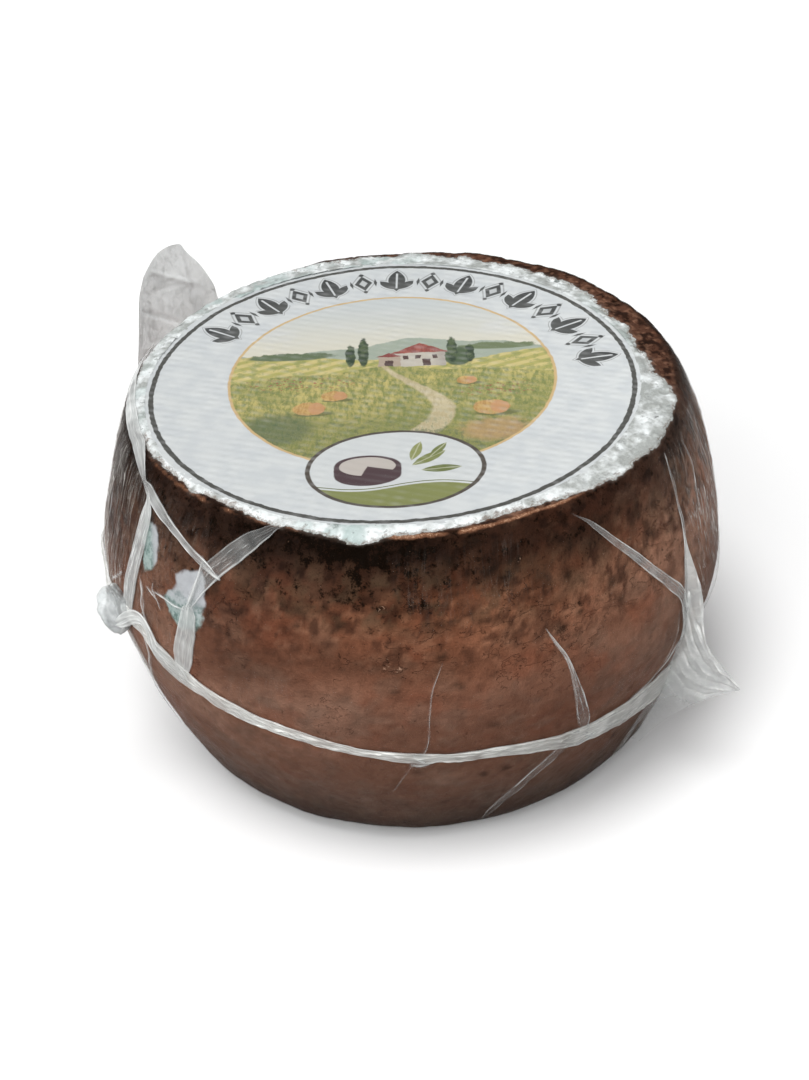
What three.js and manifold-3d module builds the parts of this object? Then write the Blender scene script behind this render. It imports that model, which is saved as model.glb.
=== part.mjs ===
// A whole wheel of aged pecorino with a dark rind, a round paper label on its
// top face, and the clear shrink bag that it is vacuum packed in.
//
// Millimetres, +Z up. The origin is the centre of the flat foot that the wheel
// stands on. -Y is the front, the side from which the label reads upright.
//
// The bag lies skin tight on most of the rind and is far too thin there to be a
// solid. What stands off the rind is one solid, film_bag: the gathered seam
// that runs right round the wheel, the pleats that pull into it, and the four
// corner ears of the bag.

import * as THREE from "three";
import { mergeVertices } from "three/addons/utils/BufferGeometryUtils.js";
import Module from "manifold-3d";

// ---------------------------------------------------------------- sizes, mm
const HEIGHT = 116.5; // foot to top face
const BELLY_R = 96; // widest radius
const BELLY_Z = 62.5; // height of the widest girth
const SHOULDER_R = 83.3; // radius that the upper flank runs up to
const SHOULDER_POWER = 1.77; // how late the upper flank turns in
const HEEL_R = 76; // radius that the lower flank runs down to
const HEEL_POWER = 1.32;
const RIM_ROUND = 3; // rounding of the crisp top rim
const FOOT_ROUND = 9; // rounding of the soft bottom edge

const LABEL_R = 75.5;
const LABEL_X = -3.7; // the label was laid on a little off centre
const LABEL_Y = -2.3;
const LABEL_T = 0.4;
const GAP = 0.3; // clearance between touching pieces

const FILM_T = 1.1; // folded film, several layers pressed together
const SEAM_T = 1.6; // gathered seam
const FILM_CLEAR = 0.45; // underside of the folds above the rind

const SEGMENTS = 72;

const rad = (deg) => (deg * Math.PI) / 180;

// ------------------------------------------------------- the wheel's surface
// The mould leaves a barrel form; hand turning leaves it slightly out of round.
function outOfRound(phi, z) {
  const h = z / HEIGHT;
  return (
    0.42 * Math.sin(2 * phi + 0.7) +
    0.26 * Math.sin(3 * phi + 2.1 + 1.5 * h) +
    0.18 * Math.sin(5 * phi + 4.0 - 2.2 * h)
  );
}

function barrel(z) {
  const below = Math.max(0, (BELLY_Z - z) / BELLY_Z);
  const above = Math.max(0, (z - BELLY_Z) / (HEIGHT - BELLY_Z));
  let r =
    BELLY_R -
    (BELLY_R - HEEL_R) * below ** HEEL_POWER -
    (BELLY_R - SHOULDER_R) * above ** SHOULDER_POWER;
  const foot = Math.min(1, Math.max(0, 1 - z / FOOT_ROUND));
  r -= FOOT_ROUND * (1 - Math.sqrt(Math.max(0, 1 - foot * foot)));
  const rim = Math.min(1, Math.max(0, 1 - (HEIGHT - z) / RIM_ROUND));
  r -= RIM_ROUND * (1 - Math.sqrt(Math.max(0, 1 - rim * rim)));
  return r;
}

const flankR = (phi, z) => barrel(z) + outOfRound(phi, z);

function onFlank(phi, z, out = 0) {
  const r = flankR(phi, z) + out;
  return new THREE.Vector3(r * Math.cos(phi), r * Math.sin(phi), z);
}

// Outward normal of the flank, from two short chords.
function flankNormal(phi, z) {
  const zz = Math.min(HEIGHT - 1, Math.max(1, z));
  const e = 0.01;
  const along = onFlank(phi + e, zz).sub(onFlank(phi - e, zz));
  const up = onFlank(phi, zz + 0.4).sub(onFlank(phi, zz - 0.4));
  return along.cross(up).normalize();
}

// --------------------------------------------------------------- mesh helpers
// A closed geometry from rings of points, all of one length. Each end is closed
// over a small triangle, so that the middle of a flat face lies inside a face.
function closeRings(rings, triangleR, centres) {
  const n = rings[0].length;
  const points = rings.flat();
  const faces = [];
  for (let k = 0; k + 1 < rings.length; k++)
    for (let i = 0; i < n; i++) {
      const j = (i + 1) % n;
      const a = k * n + i,
        b = k * n + j,
        c = (k + 1) * n + j,
        d = (k + 1) * n + i;
      faces.push([a, b, c], [a, c, d]);
    }
  [0, rings.length - 1].forEach((k, end) => {
    const first = points.length;
    for (let q = 0; q < 3; q++)
      points.push(
        new THREE.Vector3(
          centres[end].x + triangleR * Math.cos(rad(60 + 120 * q)),
          centres[end].y + triangleR * Math.sin(rad(60 + 120 * q)),
          centres[end].z,
        ),
      );
    const turn = (f) => (end ? f : [f[0], f[2], f[1]]);
    faces.push(turn([first, first + 1, first + 2]));
    for (let i = 0; i < n; i++) {
      const q = Math.floor((3 * i) / n),
        qn = Math.floor((3 * ((i + 1) % n)) / n);
      const ring = k * n + i,
        next = k * n + ((i + 1) % n);
      faces.push(turn([first + q, ring, next]));
      if (qn !== q) faces.push(turn([first + q, next, first + qn]));
    }
  });
  return indexed(points, faces);
}

function indexed(points, faces) {
  const g = new THREE.BufferGeometry();
  g.setAttribute(
    "position",
    new THREE.Float32BufferAttribute(
      points.flatMap((p) => [p.x, p.y, p.z]),
      3,
    ),
  );
  g.setIndex(faces.flat());
  return g;
}

// A strip or a sheet with thickness: a grid of top points and one of bottom
// points, joined round the edge.
function slab(top, bottom) {
  const m = top.length,
    n = top[0].length;
  const points = [...top.flat(), ...bottom.flat()];
  const half = m * n;
  const faces = [];
  for (let i = 0; i + 1 < m; i++)
    for (let j = 0; j + 1 < n; j++) {
      const a = i * n + j,
        b = (i + 1) * n + j,
        c = (i + 1) * n + j + 1,
        d = i * n + j + 1;
      faces.push([a, b, c], [a, c, d]);
      faces.push([half + a, half + c, half + b], [half + a, half + d, half + c]);
    }
  const edge = [];
  for (let i = 0; i < m - 1; i++) edge.push(i * n);
  for (let j = 0; j < n - 1; j++) edge.push((m - 1) * n + j);
  for (let i = m - 1; i > 0; i--) edge.push(i * n + n - 1);
  for (let j = n - 1; j > 0; j--) edge.push(j);
  edge.forEach((a, k) => {
    const b = edge[(k + 1) % edge.length];
    faces.push([a, half + a, half + b], [a, half + b, b]);
  });
  return indexed(points, faces);
}

// ------------------------------------------------------------ manifold bridge
const wasm = await Module();
wasm.setup();

function toSolid(geometry) {
  const g = geometry.clone();
  g.deleteAttribute("normal");
  g.deleteAttribute("uv");
  const merged = mergeVertices(g, 1e-4);
  const make = (tris) =>
    new wasm.Manifold(
      new wasm.Mesh({
        numProp: 3,
        vertProperties: new Float32Array(merged.attributes.position.array),
        triVerts: tris,
      }),
    );
  const tris = new Uint32Array(merged.index.array);
  const s = make(tris);
  if (s.volume() >= 0) return s;
  for (let i = 0; i < tris.length; i += 3)
    [tris[i + 1], tris[i + 2]] = [tris[i + 2], tris[i + 1]];
  return make(tris);
}

function toGeometry(solid) {
  const m = solid.getMesh();
  const g = new THREE.BufferGeometry();
  const p = new Float32Array(m.numVert * 3);
  for (let i = 0; i < m.numVert; i++)
    p.set(m.vertProperties.subarray(i * m.numProp, i * m.numProp + 3), i * 3);
  g.setAttribute("position", new THREE.BufferAttribute(p, 3));
  g.setIndex(new THREE.BufferAttribute(new Uint32Array(m.triVerts), 1));
  g.computeVertexNormals();
  return g;
}

// ----------------------------------------------------------------- the cheese
// out moves the whole surface outwards, for the clearance under the film.
function wheelGeometry(out) {
  const levels = [];
  for (let i = 0; i <= 4; i++)
    levels.push(FOOT_ROUND * (1 - Math.cos((i / 4) * (Math.PI / 2))));
  const flankSteps = 19;
  for (let i = 1; i <= flankSteps; i++)
    levels.push(
      FOOT_ROUND + ((HEIGHT - RIM_ROUND - FOOT_ROUND) * i) / flankSteps,
    );
  for (let i = 1; i <= 3; i++)
    levels.push(
      HEIGHT - RIM_ROUND * (1 - Math.sin((i / 3) * (Math.PI / 2))),
    );
  const rings = levels.map((z, k) => {
    const ring = [];
    for (let i = 0; i < SEGMENTS; i++) {
      const p = onFlank((2 * Math.PI * i) / SEGMENTS, z, out);
      if (k === 0) p.z -= out;
      if (k === levels.length - 1) p.z += out;
      ring.push(p);
    }
    return ring;
  });
  const centre = (z) => new THREE.Vector3(0, 0, z);
  return closeRings(rings, 24, [centre(-out), centre(HEIGHT + out)]);
}

// ------------------------------------------------------------------ the label
function labelGeometry() {
  const ring = (z) =>
    Array.from({ length: SEGMENTS }, (_, i) => {
      const a = (2 * Math.PI * i) / SEGMENTS;
      return new THREE.Vector3(
        LABEL_R * Math.cos(a),
        LABEL_R * Math.sin(a),
        z,
      );
    });
  return closeRings([ring(0), ring(LABEL_T)], 20, [
    new THREE.Vector3(0, 0, 0),
    new THREE.Vector3(0, 0, LABEL_T),
  ]);
}

// ------------------------------------------------------------------- the film
// A flattened ribbon that follows the flank just clear of it. Each station is
// [azimuth in degrees, height, ribbon width]. An open ribbon thins out to its
// ends; a closed one runs right round the wheel.
const ACROSS = [
  [-0.5, 0],
  [-0.27, 0.85],
  [0.04, 1],
  [0.3, 0.75],
  [0.5, 0],
];

function ribbon(stations, thickness, steps, closed = false) {
  const curve = new THREE.CatmullRomCurve3(
    stations.map(([a, z, w]) => new THREE.Vector3(a, z, w)),
    false,
    "centripetal",
  );
  const rings = [];
  const count = closed ? steps : steps + 1;
  for (let i = 0; i < count; i++) {
    const t = i / steps;
    const s = curve.getPoint(t);
    const before = curve.getPoint(Math.max(0, t - 1e-3)),
      after = curve.getPoint(Math.min(1, t + 1e-3));
    const phi = rad(s.x);
    const base = onFlank(phi, s.y, FILM_CLEAR);
    const along = onFlank(rad(after.x), after.y).sub(
      onFlank(rad(before.x), before.y),
    );
    const normal = flankNormal(phi, s.y);
    const side = normal.clone().cross(along).normalize();
    const swell = closed
      ? 1 + 0.12 * Math.sin(9 * phi) + 0.1 * Math.sin(23 * phi + 1)
      : Math.sin(Math.PI * (0.1 + 0.8 * t)) ** 0.5;
    rings.push(
      ACROSS.map(([u, h]) =>
        base
          .clone()
          .addScaledVector(side, u * s.z)
          .addScaledVector(normal, h * thickness * swell),
      ),
    );
  }
  const n = ACROSS.length;
  const faces = [];
  const last = closed ? rings.length : rings.length - 1;
  for (let k = 0; k < last; k++) {
    const m = (k + 1) % rings.length;
    for (let i = 0; i < n; i++) {
      const j = (i + 1) % n;
      faces.push(
        [k * n + i, k * n + j, m * n + j],
        [k * n + i, m * n + j, m * n + i],
      );
    }
  }
  if (!closed)
    [0, rings.length - 1].forEach((k, end) => {
      for (let i = 1; i + 1 < n; i++)
        faces.push(
          end
            ? [k * n, k * n + i, k * n + i + 1]
            : [k * n, k * n + i + 1, k * n + i],
        );
    });
  return indexed(rings.flat(), faces);
}

// The gathered seam: lowest at the front right, highest at the left.
const SEAM = [
  [-180, 64.5, 5],
  [-154, 66, 7.5],
  [-137, 62, 6],
  [-115, 54, 4.2],
  [-97, 48.6, 3.6],
  [-90, 47.2, 4],
  [-76, 45.2, 4],
  [-64, 42.3, 5.6],
  [-54, 39, 6.6],
  [-43, 37, 8],
  [-33, 37.5, 9],
  [-16, 40, 6],
  [10, 43, 4.4],
  [45, 49, 6],
  [90, 56, 4.2],
  [138, 62, 6.6],
  [165, 64, 5.2],
  [180, 64.5, 5],
];

// Pleats in the film, each a route over the flank. They pull from the rim and
// from the foot into the seam, most of them into the corners of the bag.
const PLEATS = {
  right_front: [
    [-58.5, 113, 1.6],
    [-54.5, 108.5, 3],
    [-49, 99.5, 4.4],
    [-42.5, 88, 4.6],
    [-36, 74, 4],
    [-34.5, 58, 4],
    [-34, 40, 5],
  ],
  right_upper: [
    [-30.3, 112, 1.4],
    [-31, 98, 2.2],
    [-32.4, 80, 3.4],
    [-33.5, 64, 4],
  ],
  right_lower: [
    [-33, 40, 6],
    [-35, 26, 4],
    [-39, 14, 2.4],
    [-43, 7, 1.4],
  ],
  front_upper: [
    [-66.6, 82, 1],
    [-64.4, 76, 1.4],
    [-62.6, 63, 2],
    [-60, 50, 3.4],
    [-59.3, 40, 4],
  ],
  front_lower: [
    [-60.5, 42, 3],
    [-66.5, 31.5, 2.4],
    [-73, 19.5, 1.8],
    [-78, 8, 1.2],
  ],
  front_thin: [
    [-87, 78, 0.9],
    [-88.3, 66, 1],
    [-90, 49, 2],
    [-93.5, 36.2, 1.2],
    [-96.3, 28.6, 0.9],
  ],
  left_rim: [
    [-168, 114, 1.6],
    [-158, 112.6, 2.6],
    [-149, 109.6, 3],
    [-140, 104.6, 2.4],
    [-130, 99.6, 2.2],
  ],
  left_down: [
    [-148, 108.5, 3],
    [-150.2, 97, 3.4],
    [-152.6, 84, 4],
    [-154, 66, 6],
  ],
  left_band: [
    [-118, 114.2, 2.6],
    [-121, 111, 4.4],
    [-126, 103.6, 6],
    [-131, 94.5, 6],
    [-134.5, 84.5, 4.4],
    [-135.6, 74, 5.2],
    [-136, 60, 6],
  ],
  left_web: [
    [-137, 62, 5],
    [-143, 56, 5],
    [-150, 50, 3.4],
    [-157, 38, 2],
  ],
  rear_upper: [
    [126, 61, 5],
    [118, 82, 3],
    [108, 104, 1.8],
  ],
  rear_lower: [
    [138, 62, 5],
    [131, 44, 3],
    [122, 22, 1.8],
  ],
  hidden_upper: [
    [43, 50, 4],
    [41, 74, 3],
    [37, 98, 1.8],
    [33, 111, 1.4],
  ],
  hidden_lower: [
    [45, 50, 4],
    [51, 33, 2.6],
    [58, 15, 1.6],
  ],
};

// A flat ear of film that stands out from the flank at a corner of the bag.
// root runs along the flank as [azimuth, height]; edge is the free edge as
// [azimuth, radius, height]. crease is a fold across the sheet.
function ear(
  root,
  edge,
  { bow = 0, crease = 0, off = 0.6, steps = 8, rows = 4 } = {},
) {
  const curveOf = (list) =>
    new THREE.CatmullRomCurve3(list, false, "centripetal");
  const a = curveOf(root.map(([p, z]) => onFlank(rad(p), z, off)));
  const b = curveOf(
    edge.map(
      ([p, r, z]) =>
        new THREE.Vector3(r * Math.cos(rad(p)), r * Math.sin(rad(p)), z),
    ),
  );
  const grid = [];
  for (let i = 0; i <= steps; i++) {
    const p = a.getPoint(i / steps),
      q = b.getPoint(i / steps);
    const row = [];
    for (let j = 0; j <= rows; j++) row.push(p.clone().lerp(q, j / rows));
    grid.push(row);
  }
  const normalAt = (i, j) => {
    const i0 = Math.max(0, i - 1),
      i1 = Math.min(steps, i + 1),
      j0 = Math.max(0, j - 1),
      j1 = Math.min(rows, j + 1);
    return grid[i1][j]
      .clone()
      .sub(grid[i0][j])
      .cross(grid[i][j1].clone().sub(grid[i][j0]))
      .normalize();
  };
  const shifted = (side) =>
    grid.map((row, i) =>
      row.map((p, j) => {
        const u = i / steps,
          v = j / rows;
        const fold =
          crease * v * Math.max(0, 1 - Math.abs(u - 0.66) / 0.22);
        return p
          .clone()
          .addScaledVector(
            normalAt(i, j),
            side * (FILM_T / 2) +
              fold +
              bow * Math.sin(Math.PI * u) * Math.sin(Math.PI * v),
          );
      }),
    );
  return slab(shifted(1), shifted(-1));
}

const EARS = {
  // front right: a pointed ear where two pleats and the seam run together
  front_right: ear(
    [
      [-34, 80],
      [-34, 60],
      [-33.5, 40],
      [-34, 20],
    ],
    [
      [-34, 98.2, 80],
      [-35, 104, 58],
      [-35.5, 115, 45.2],
      [-35, 108.4, 37],
      [-35, 93.5, 24.5],
      [-35, 89, 19.5],
    ],
    { bow: 1.2 },
  ),
  // rear left: the largest ear, a sheet that stands up behind the rim
  rear_left: ear(
    [
      [119, 60],
      [131, 61.5],
      [143, 62.5],
      [155, 64],
    ],
    [
      [123, 110, 90],
      [125.5, 113.2, 104.2],
      [128.5, 112.6, 116.1],
      [130.6, 110.4, 122.8],
      [135.5, 110.1, 124.2],
      [141, 107.9, 121],
      [145, 104.9, 115],
      [147, 103.3, 106],
      [148.6, 102.4, 98],
      [151.5, 100.4, 85],
    ],
    { bow: 2, crease: 1.6, off: 1.15, steps: 12, rows: 5 },
  ),
  // rear right: hidden in the photograph, finished like the others
  rear_right: ear(
    [
      [42, 66],
      [43, 55],
      [45, 46],
      [47, 36],
    ],
    [
      [42, 98.2, 66],
      [44, 106, 56],
      [46, 107, 48.5],
      [47, 94, 36],
    ],
    { bow: 0.8 },
  ),
};

// left: this corner of the bag has rolled up into a soft lobe
function lobe() {
  const g = new THREE.SphereGeometry(1, 16, 10);
  const p = g.attributes.position;
  for (let i = 0; i < p.count; i++) {
    const y = p.getY(i),
      z = p.getZ(i);
    p.setX(i, 5.6 * p.getX(i) * (1 + 0.2 * Math.sin(3.1 * y + 4 * z)));
    p.setZ(i, 8.4 * z * (1 - 0.25 * y) - 3.2 * y * y);
    p.setY(i, 11.5 * y);
  }
  const phi = rad(-155);
  g.applyMatrix4(
    new THREE.Matrix4()
      .makeRotationZ(phi)
      .setPosition(97.8 * Math.cos(phi), 97.8 * Math.sin(phi), 68),
  );
  return g;
}

function filmGeometry() {
  const clear = toSolid(wheelGeometry(GAP));
  let film = toSolid(ribbon(SEAM, SEAM_T, SEGMENTS, true));
  for (const route of Object.values(PLEATS))
    film = film.add(toSolid(ribbon(route, FILM_T, 4 * route.length - 4)));
  for (const g of Object.values(EARS)) film = film.add(toSolid(g));
  film = film.add(toSolid(lobe())).subtract(clear);
  return toGeometry(film);
}

// ------------------------------------------------------------------ the scene
const wheel = new THREE.Group();

const cheese = new THREE.Mesh(
  wheelGeometry(0),
  new THREE.MeshStandardMaterial({
    color: new THREE.Color(0.1, 0.055, 0.038),
    roughness: 0.45,
    metalness: 0,
  }),
);
cheese.name = "cheese_wheel";
wheel.add(cheese);

const label = new THREE.Mesh(
  labelGeometry(),
  new THREE.MeshStandardMaterial({
    color: new THREE.Color(0.75, 0.78, 0.79),
    roughness: 0.5,
    metalness: 0,
  }),
);
label.name = "paper_label";
label.position.set(LABEL_X, LABEL_Y, HEIGHT + GAP);
wheel.add(label);

const film = new THREE.Mesh(
  filmGeometry(),
  new THREE.MeshStandardMaterial({
    color: new THREE.Color(0.72, 0.74, 0.75),
    roughness: 0.2,
    metalness: 0,
    transparent: true,
    opacity: 0.5,
  }),
);
film.name = "film_bag";
wheel.add(film);

export default wheel;
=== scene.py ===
import math

import bpy
import numpy as np
from mathutils import Matrix, Vector


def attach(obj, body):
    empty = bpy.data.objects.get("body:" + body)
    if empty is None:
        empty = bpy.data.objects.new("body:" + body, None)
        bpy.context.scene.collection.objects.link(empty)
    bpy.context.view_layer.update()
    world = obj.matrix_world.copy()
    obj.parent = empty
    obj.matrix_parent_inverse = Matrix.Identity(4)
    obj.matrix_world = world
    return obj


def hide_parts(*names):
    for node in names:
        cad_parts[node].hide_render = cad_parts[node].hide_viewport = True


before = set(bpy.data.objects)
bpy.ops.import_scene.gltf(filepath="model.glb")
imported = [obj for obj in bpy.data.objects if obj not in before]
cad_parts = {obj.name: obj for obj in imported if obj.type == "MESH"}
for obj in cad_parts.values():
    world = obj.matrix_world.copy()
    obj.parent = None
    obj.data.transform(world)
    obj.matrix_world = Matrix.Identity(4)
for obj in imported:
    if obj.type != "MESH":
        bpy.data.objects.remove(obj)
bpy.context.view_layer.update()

# --------------------------------------------------------------------------
# Sizes in mm, the same as the solids'
# --------------------------------------------------------------------------
HEIGHT, BELLY_R, BELLY_Z = 116.5, 96.0, 62.5
SHOULDER_R, SHOULDER_POWER = 83.3, 1.77
HEEL_R, HEEL_POWER = 76.0, 1.32
RIM_ROUND, FOOT_ROUND = 3.0, 9.0
LABEL_R, LABEL_X, LABEL_Y = 75.5, -3.7, -2.3
LABEL_BOTTOM, LABEL_T = 116.8, 0.4
MM = 0.001


def lin(r, g, b):
    """An 8-bit sRGB colour as linear RGBA."""
    def one(c):
        c /= 255.0
        return c / 12.92 if c <= 0.04045 else ((c + 0.055) / 1.055) ** 2.4
    return (one(r), one(g), one(b), 1.0)


def smooth(x, a, b):
    t = np.clip((x - a) / (b - a), 0.0, 1.0)
    return t * t * (3 - 2 * t)


def bell(x, centre, width):
    return np.exp(-(((x - centre) / width) ** 2))


def wrap(deg):
    """Degrees to -180..180."""
    return (np.asarray(deg, float) + 180.0) % 360.0 - 180.0


# --------------------------------------------------------------------------
# Seeded noise on arrays of points (n, 3)
# --------------------------------------------------------------------------
def _hash(ix, iy, iz, seed):
    h = (ix.astype(np.uint32) * np.uint32(0x8DA6B343)
         ^ iy.astype(np.uint32) * np.uint32(0xD8163841)
         ^ iz.astype(np.uint32) * np.uint32(0xCB1AB31F)
         ^ np.uint32((seed * 0x9E3779B1) & 0xFFFFFFFF))
    h ^= h >> np.uint32(15)
    h *= np.uint32(0x2C1B3C6D)
    h ^= h >> np.uint32(12)
    h *= np.uint32(0x297A2D39)
    h ^= h >> np.uint32(15)
    return h.astype(np.float64) / 4294967295.0


def noise(p, seed=1):
    """Smooth value noise, 0 to 1."""
    i = np.floor(p).astype(np.int64)
    f = p - i
    f = f * f * f * (f * (f * 6 - 15) + 10)
    out = 0.0
    for dx in (0, 1):
        wx = f[:, 0] if dx else 1 - f[:, 0]
        for dy in (0, 1):
            wy = f[:, 1] if dy else 1 - f[:, 1]
            for dz in (0, 1):
                wz = f[:, 2] if dz else 1 - f[:, 2]
                out = out + wx * wy * wz * _hash(i[:, 0] + dx, i[:, 1] + dy, i[:, 2] + dz, seed)
    return out


TURN = np.array([[0.0, 0.8, 0.6], [-0.8, 0.36, -0.48], [-0.6, -0.48, 0.64]])


def fbm(p, octaves=4, seed=1, gain=0.5):
    """Layered noise, about -1 to 1."""
    p = np.asarray(p, float)
    total, amp, norm = 0.0, 1.0, 0.0
    for k in range(octaves):
        total = total + amp * (noise(p, seed + 17 * k) * 2 - 1)
        norm += amp
        amp *= gain
        p = (p @ TURN.T) * 2.03 + 11.7
    return total / norm * 1.6


def cells(p, seed=1):
    """Distance to the nearest of one scattered point per unit cell."""
    i = np.floor(p).astype(np.int64)
    best = np.full(len(p), 9.0)
    for dx in (-1, 0, 1):
        for dy in (-1, 0, 1):
            for dz in (-1, 0, 1):
                c = i + np.array([dx, dy, dz])
                q = c + np.stack([_hash(c[:, 0], c[:, 1], c[:, 2], seed + s) for s in (1, 2, 3)], 1)
                best = np.minimum(best, ((q - p) ** 2).sum(1))
    return np.sqrt(best)


# --------------------------------------------------------------------------
# The wheel's surface: phi is the azimuth in degrees, s runs up the meridian
# --------------------------------------------------------------------------
def barrel(z):
    z = np.asarray(z, float)
    below = np.clip((BELLY_Z - z) / BELLY_Z, 0, None)
    above = np.clip((z - BELLY_Z) / (HEIGHT - BELLY_Z), 0, None)
    r = (BELLY_R - (BELLY_R - HEEL_R) * below ** HEEL_POWER
         - (BELLY_R - SHOULDER_R) * above ** SHOULDER_POWER)
    foot = np.clip(1 - z / FOOT_ROUND, 0, 1)
    r = r - FOOT_ROUND * (1 - np.sqrt(np.clip(1 - foot * foot, 0, 1)))
    rim = np.clip(1 - (HEIGHT - z) / RIM_ROUND, 0, 1)
    return r - RIM_ROUND * (1 - np.sqrt(np.clip(1 - rim * rim, 0, 1)))


def out_of_round(phi, z):
    f, h = np.radians(phi), np.asarray(z, float) / HEIGHT
    return (0.42 * np.sin(2 * f + 0.7) + 0.26 * np.sin(3 * f + 2.1 + 1.5 * h)
            + 0.18 * np.sin(5 * f + 4.0 - 2.2 * h))


def _meridian():
    t = np.linspace(0, np.pi / 2, 40)
    foot = FOOT_ROUND * (1 - np.cos(t))
    flank = np.linspace(FOOT_ROUND, HEIGHT - RIM_ROUND, 320)[1:]
    rim = HEIGHT - RIM_ROUND * (1 - np.sin(t[1:]))
    z = np.concatenate([foot, flank, rim])
    r = barrel(z)
    z = np.concatenate([np.zeros(60), z, np.full(80, HEIGHT)])
    r = np.concatenate([np.linspace(0, r[0], 61)[:-1], r, np.linspace(r[-1], 0, 81)[1:]])
    s = np.concatenate([[0], np.cumsum(np.hypot(np.diff(r), np.diff(z)))])
    d = np.stack([np.gradient(r, s), np.gradient(z, s)], 1)
    d /= np.linalg.norm(d, axis=1)[:, None]
    return s, r, z, d[:, 1], -d[:, 0]


M_S, M_R, M_Z, M_NR, M_NZ = _meridian()
S_FOOT = M_S[60]                                   # where the foot's flat ends
S_RIM = M_S[np.searchsorted(M_Z, HEIGHT - 1e-9)]   # where the top face begins
S_END = M_S[-1]


def s_of_z(z):
    """Meridian length for a height on the flank."""
    k = (M_S > S_FOOT) & (M_S < S_RIM)
    return np.interp(z, M_Z[k], M_S[k])


def surf(phi, s, out=0.0):
    """Points on the wheel, moved outwards by out, in mm."""
    phi, s = np.broadcast_arrays(np.asarray(phi, float), np.asarray(s, float))
    r, z = np.interp(s, M_S, M_R), np.interp(s, M_S, M_Z)
    nr, nz = np.interp(s, M_S, M_NR), np.interp(s, M_S, M_NZ)
    r = r + out_of_round(phi, z) * np.clip(r / 60.0, 0, 1) + nr * out
    f = np.radians(phi)
    return np.stack([r * np.cos(f), r * np.sin(f), z + nz * out], -1)


def normal(phi, s):
    phi, s = np.broadcast_arrays(np.asarray(phi, float), np.asarray(s, float))
    nr, nz = np.interp(s, M_S, M_NR), np.interp(s, M_S, M_NZ)
    n = np.hypot(nr, nz)
    f = np.radians(phi)
    return np.stack([nr * np.cos(f) / n, nr * np.sin(f) / n, nz / n], -1)


def find(q):
    """The phi and s of the point of the wheel nearest to each point."""
    shape = q.shape[:-1]
    q = q.reshape(-1, 3)
    phi = np.degrees(np.arctan2(q[:, 1], q[:, 0]))
    r = np.hypot(q[:, 0], q[:, 1]) - out_of_round(phi, q[:, 2])
    s = np.empty(len(q))
    keep = slice(30, -40)
    ms, mr, mz = M_S[keep], M_R[keep], M_Z[keep]
    for k in range(0, len(q), 4000):
        d = (r[k:k + 4000, None] - mr) ** 2 + (q[k:k + 4000, 2, None] - mz) ** 2
        j = np.clip(d.argmin(1), 1, len(ms) - 2)
        a, b, c = (d[np.arange(len(j)), j + o] for o in (-1, 0, 1))
        shift = np.clip(0.5 * (a - c) / np.maximum(a - 2 * b + c, 1e-9), -0.5, 0.5)
        s[k:k + 4000] = np.interp(j + shift, np.arange(len(ms)), ms)
    return phi.reshape(shape), s.reshape(shape)


# --------------------------------------------------------------------------
# Meshes
# --------------------------------------------------------------------------
def grid_mesh(name, pts, close=False, uv=None, attrs=None, drop=None, shade=True):
    """A quad grid from pts (m, n, 3) in mm. close joins the last row to the first."""
    m, n = pts.shape[:2]
    i, j = np.meshgrid(np.arange(m if close else m - 1), np.arange(n - 1), indexing="ij")
    k = (i + 1) % m
    quads = np.stack([i * n + j, k * n + j, k * n + j + 1, i * n + j + 1], -1).reshape(-1, 4)
    return mesh(name, pts.reshape(-1, 3), quads,
                uv=None if uv is None else uv.reshape(-1, 2),
                attrs={a: v.reshape(-1) for a, v in (attrs or {}).items()},
                drop=None if drop is None else drop.reshape(-1), shade=shade)


def sizeable(faces, count, least=60):
    """Only the faces that lie in a connected patch of at least that many."""
    tag = np.arange(count)
    while True:
        new = tag.copy()
        np.minimum.at(new, faces.ravel(), np.repeat(tag[faces].min(1), faces.shape[1]))
        new = new[new]
        if (new == tag).all():
            break
        tag = new
    patch = tag[faces[:, 0]]
    return faces[np.bincount(patch, minlength=count)[patch] >= least]


def mesh(name, pts, faces, uv=None, attrs=None, drop=None, shade=True):
    faces = np.asarray(faces)
    if drop is not None:  # faces whose corners are all marked go, and so do loose scraps
        faces = sizeable(faces[~drop[faces].all(1)], len(pts))
    used = np.unique(faces)
    back = np.full(len(pts), -1)
    back[used] = np.arange(len(used))
    pts, faces = pts[used], back[faces]
    w = faces.shape[1]
    me = bpy.data.meshes.new(name)
    me.vertices.add(len(pts))
    me.vertices.foreach_set("co", (pts * MM).astype(np.float32).ravel())
    me.loops.add(faces.size)
    me.loops.foreach_set("vertex_index", faces.astype(np.int32).ravel())
    me.polygons.add(len(faces))
    me.polygons.foreach_set("loop_start", np.arange(0, faces.size, w, dtype=np.int32))
    me.polygons.foreach_set("loop_total", np.full(len(faces), w, np.int32))
    me.update(calc_edges=True)
    me.polygons.foreach_set("use_smooth", np.full(len(faces), shade))
    if uv is not None:
        layer = me.uv_layers.new(name="UVMap")
        layer.data.foreach_set("uv", uv[used][faces.ravel()].astype(np.float32).ravel())
    for a, v in (attrs or {}).items():
        at = me.attributes.new(a, "FLOAT", "POINT")
        at.data.foreach_set("value", np.asarray(v)[used].astype(np.float32))
    me.validate()
    ob = bpy.data.objects.new(name, me)
    bpy.context.scene.collection.objects.link(ob)
    return ob


def piece(ob, material, slot, *nodes):
    ob.data.materials.append(material)
    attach(ob, "root")
    if nodes:
        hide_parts(*nodes)
    return ob


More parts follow.
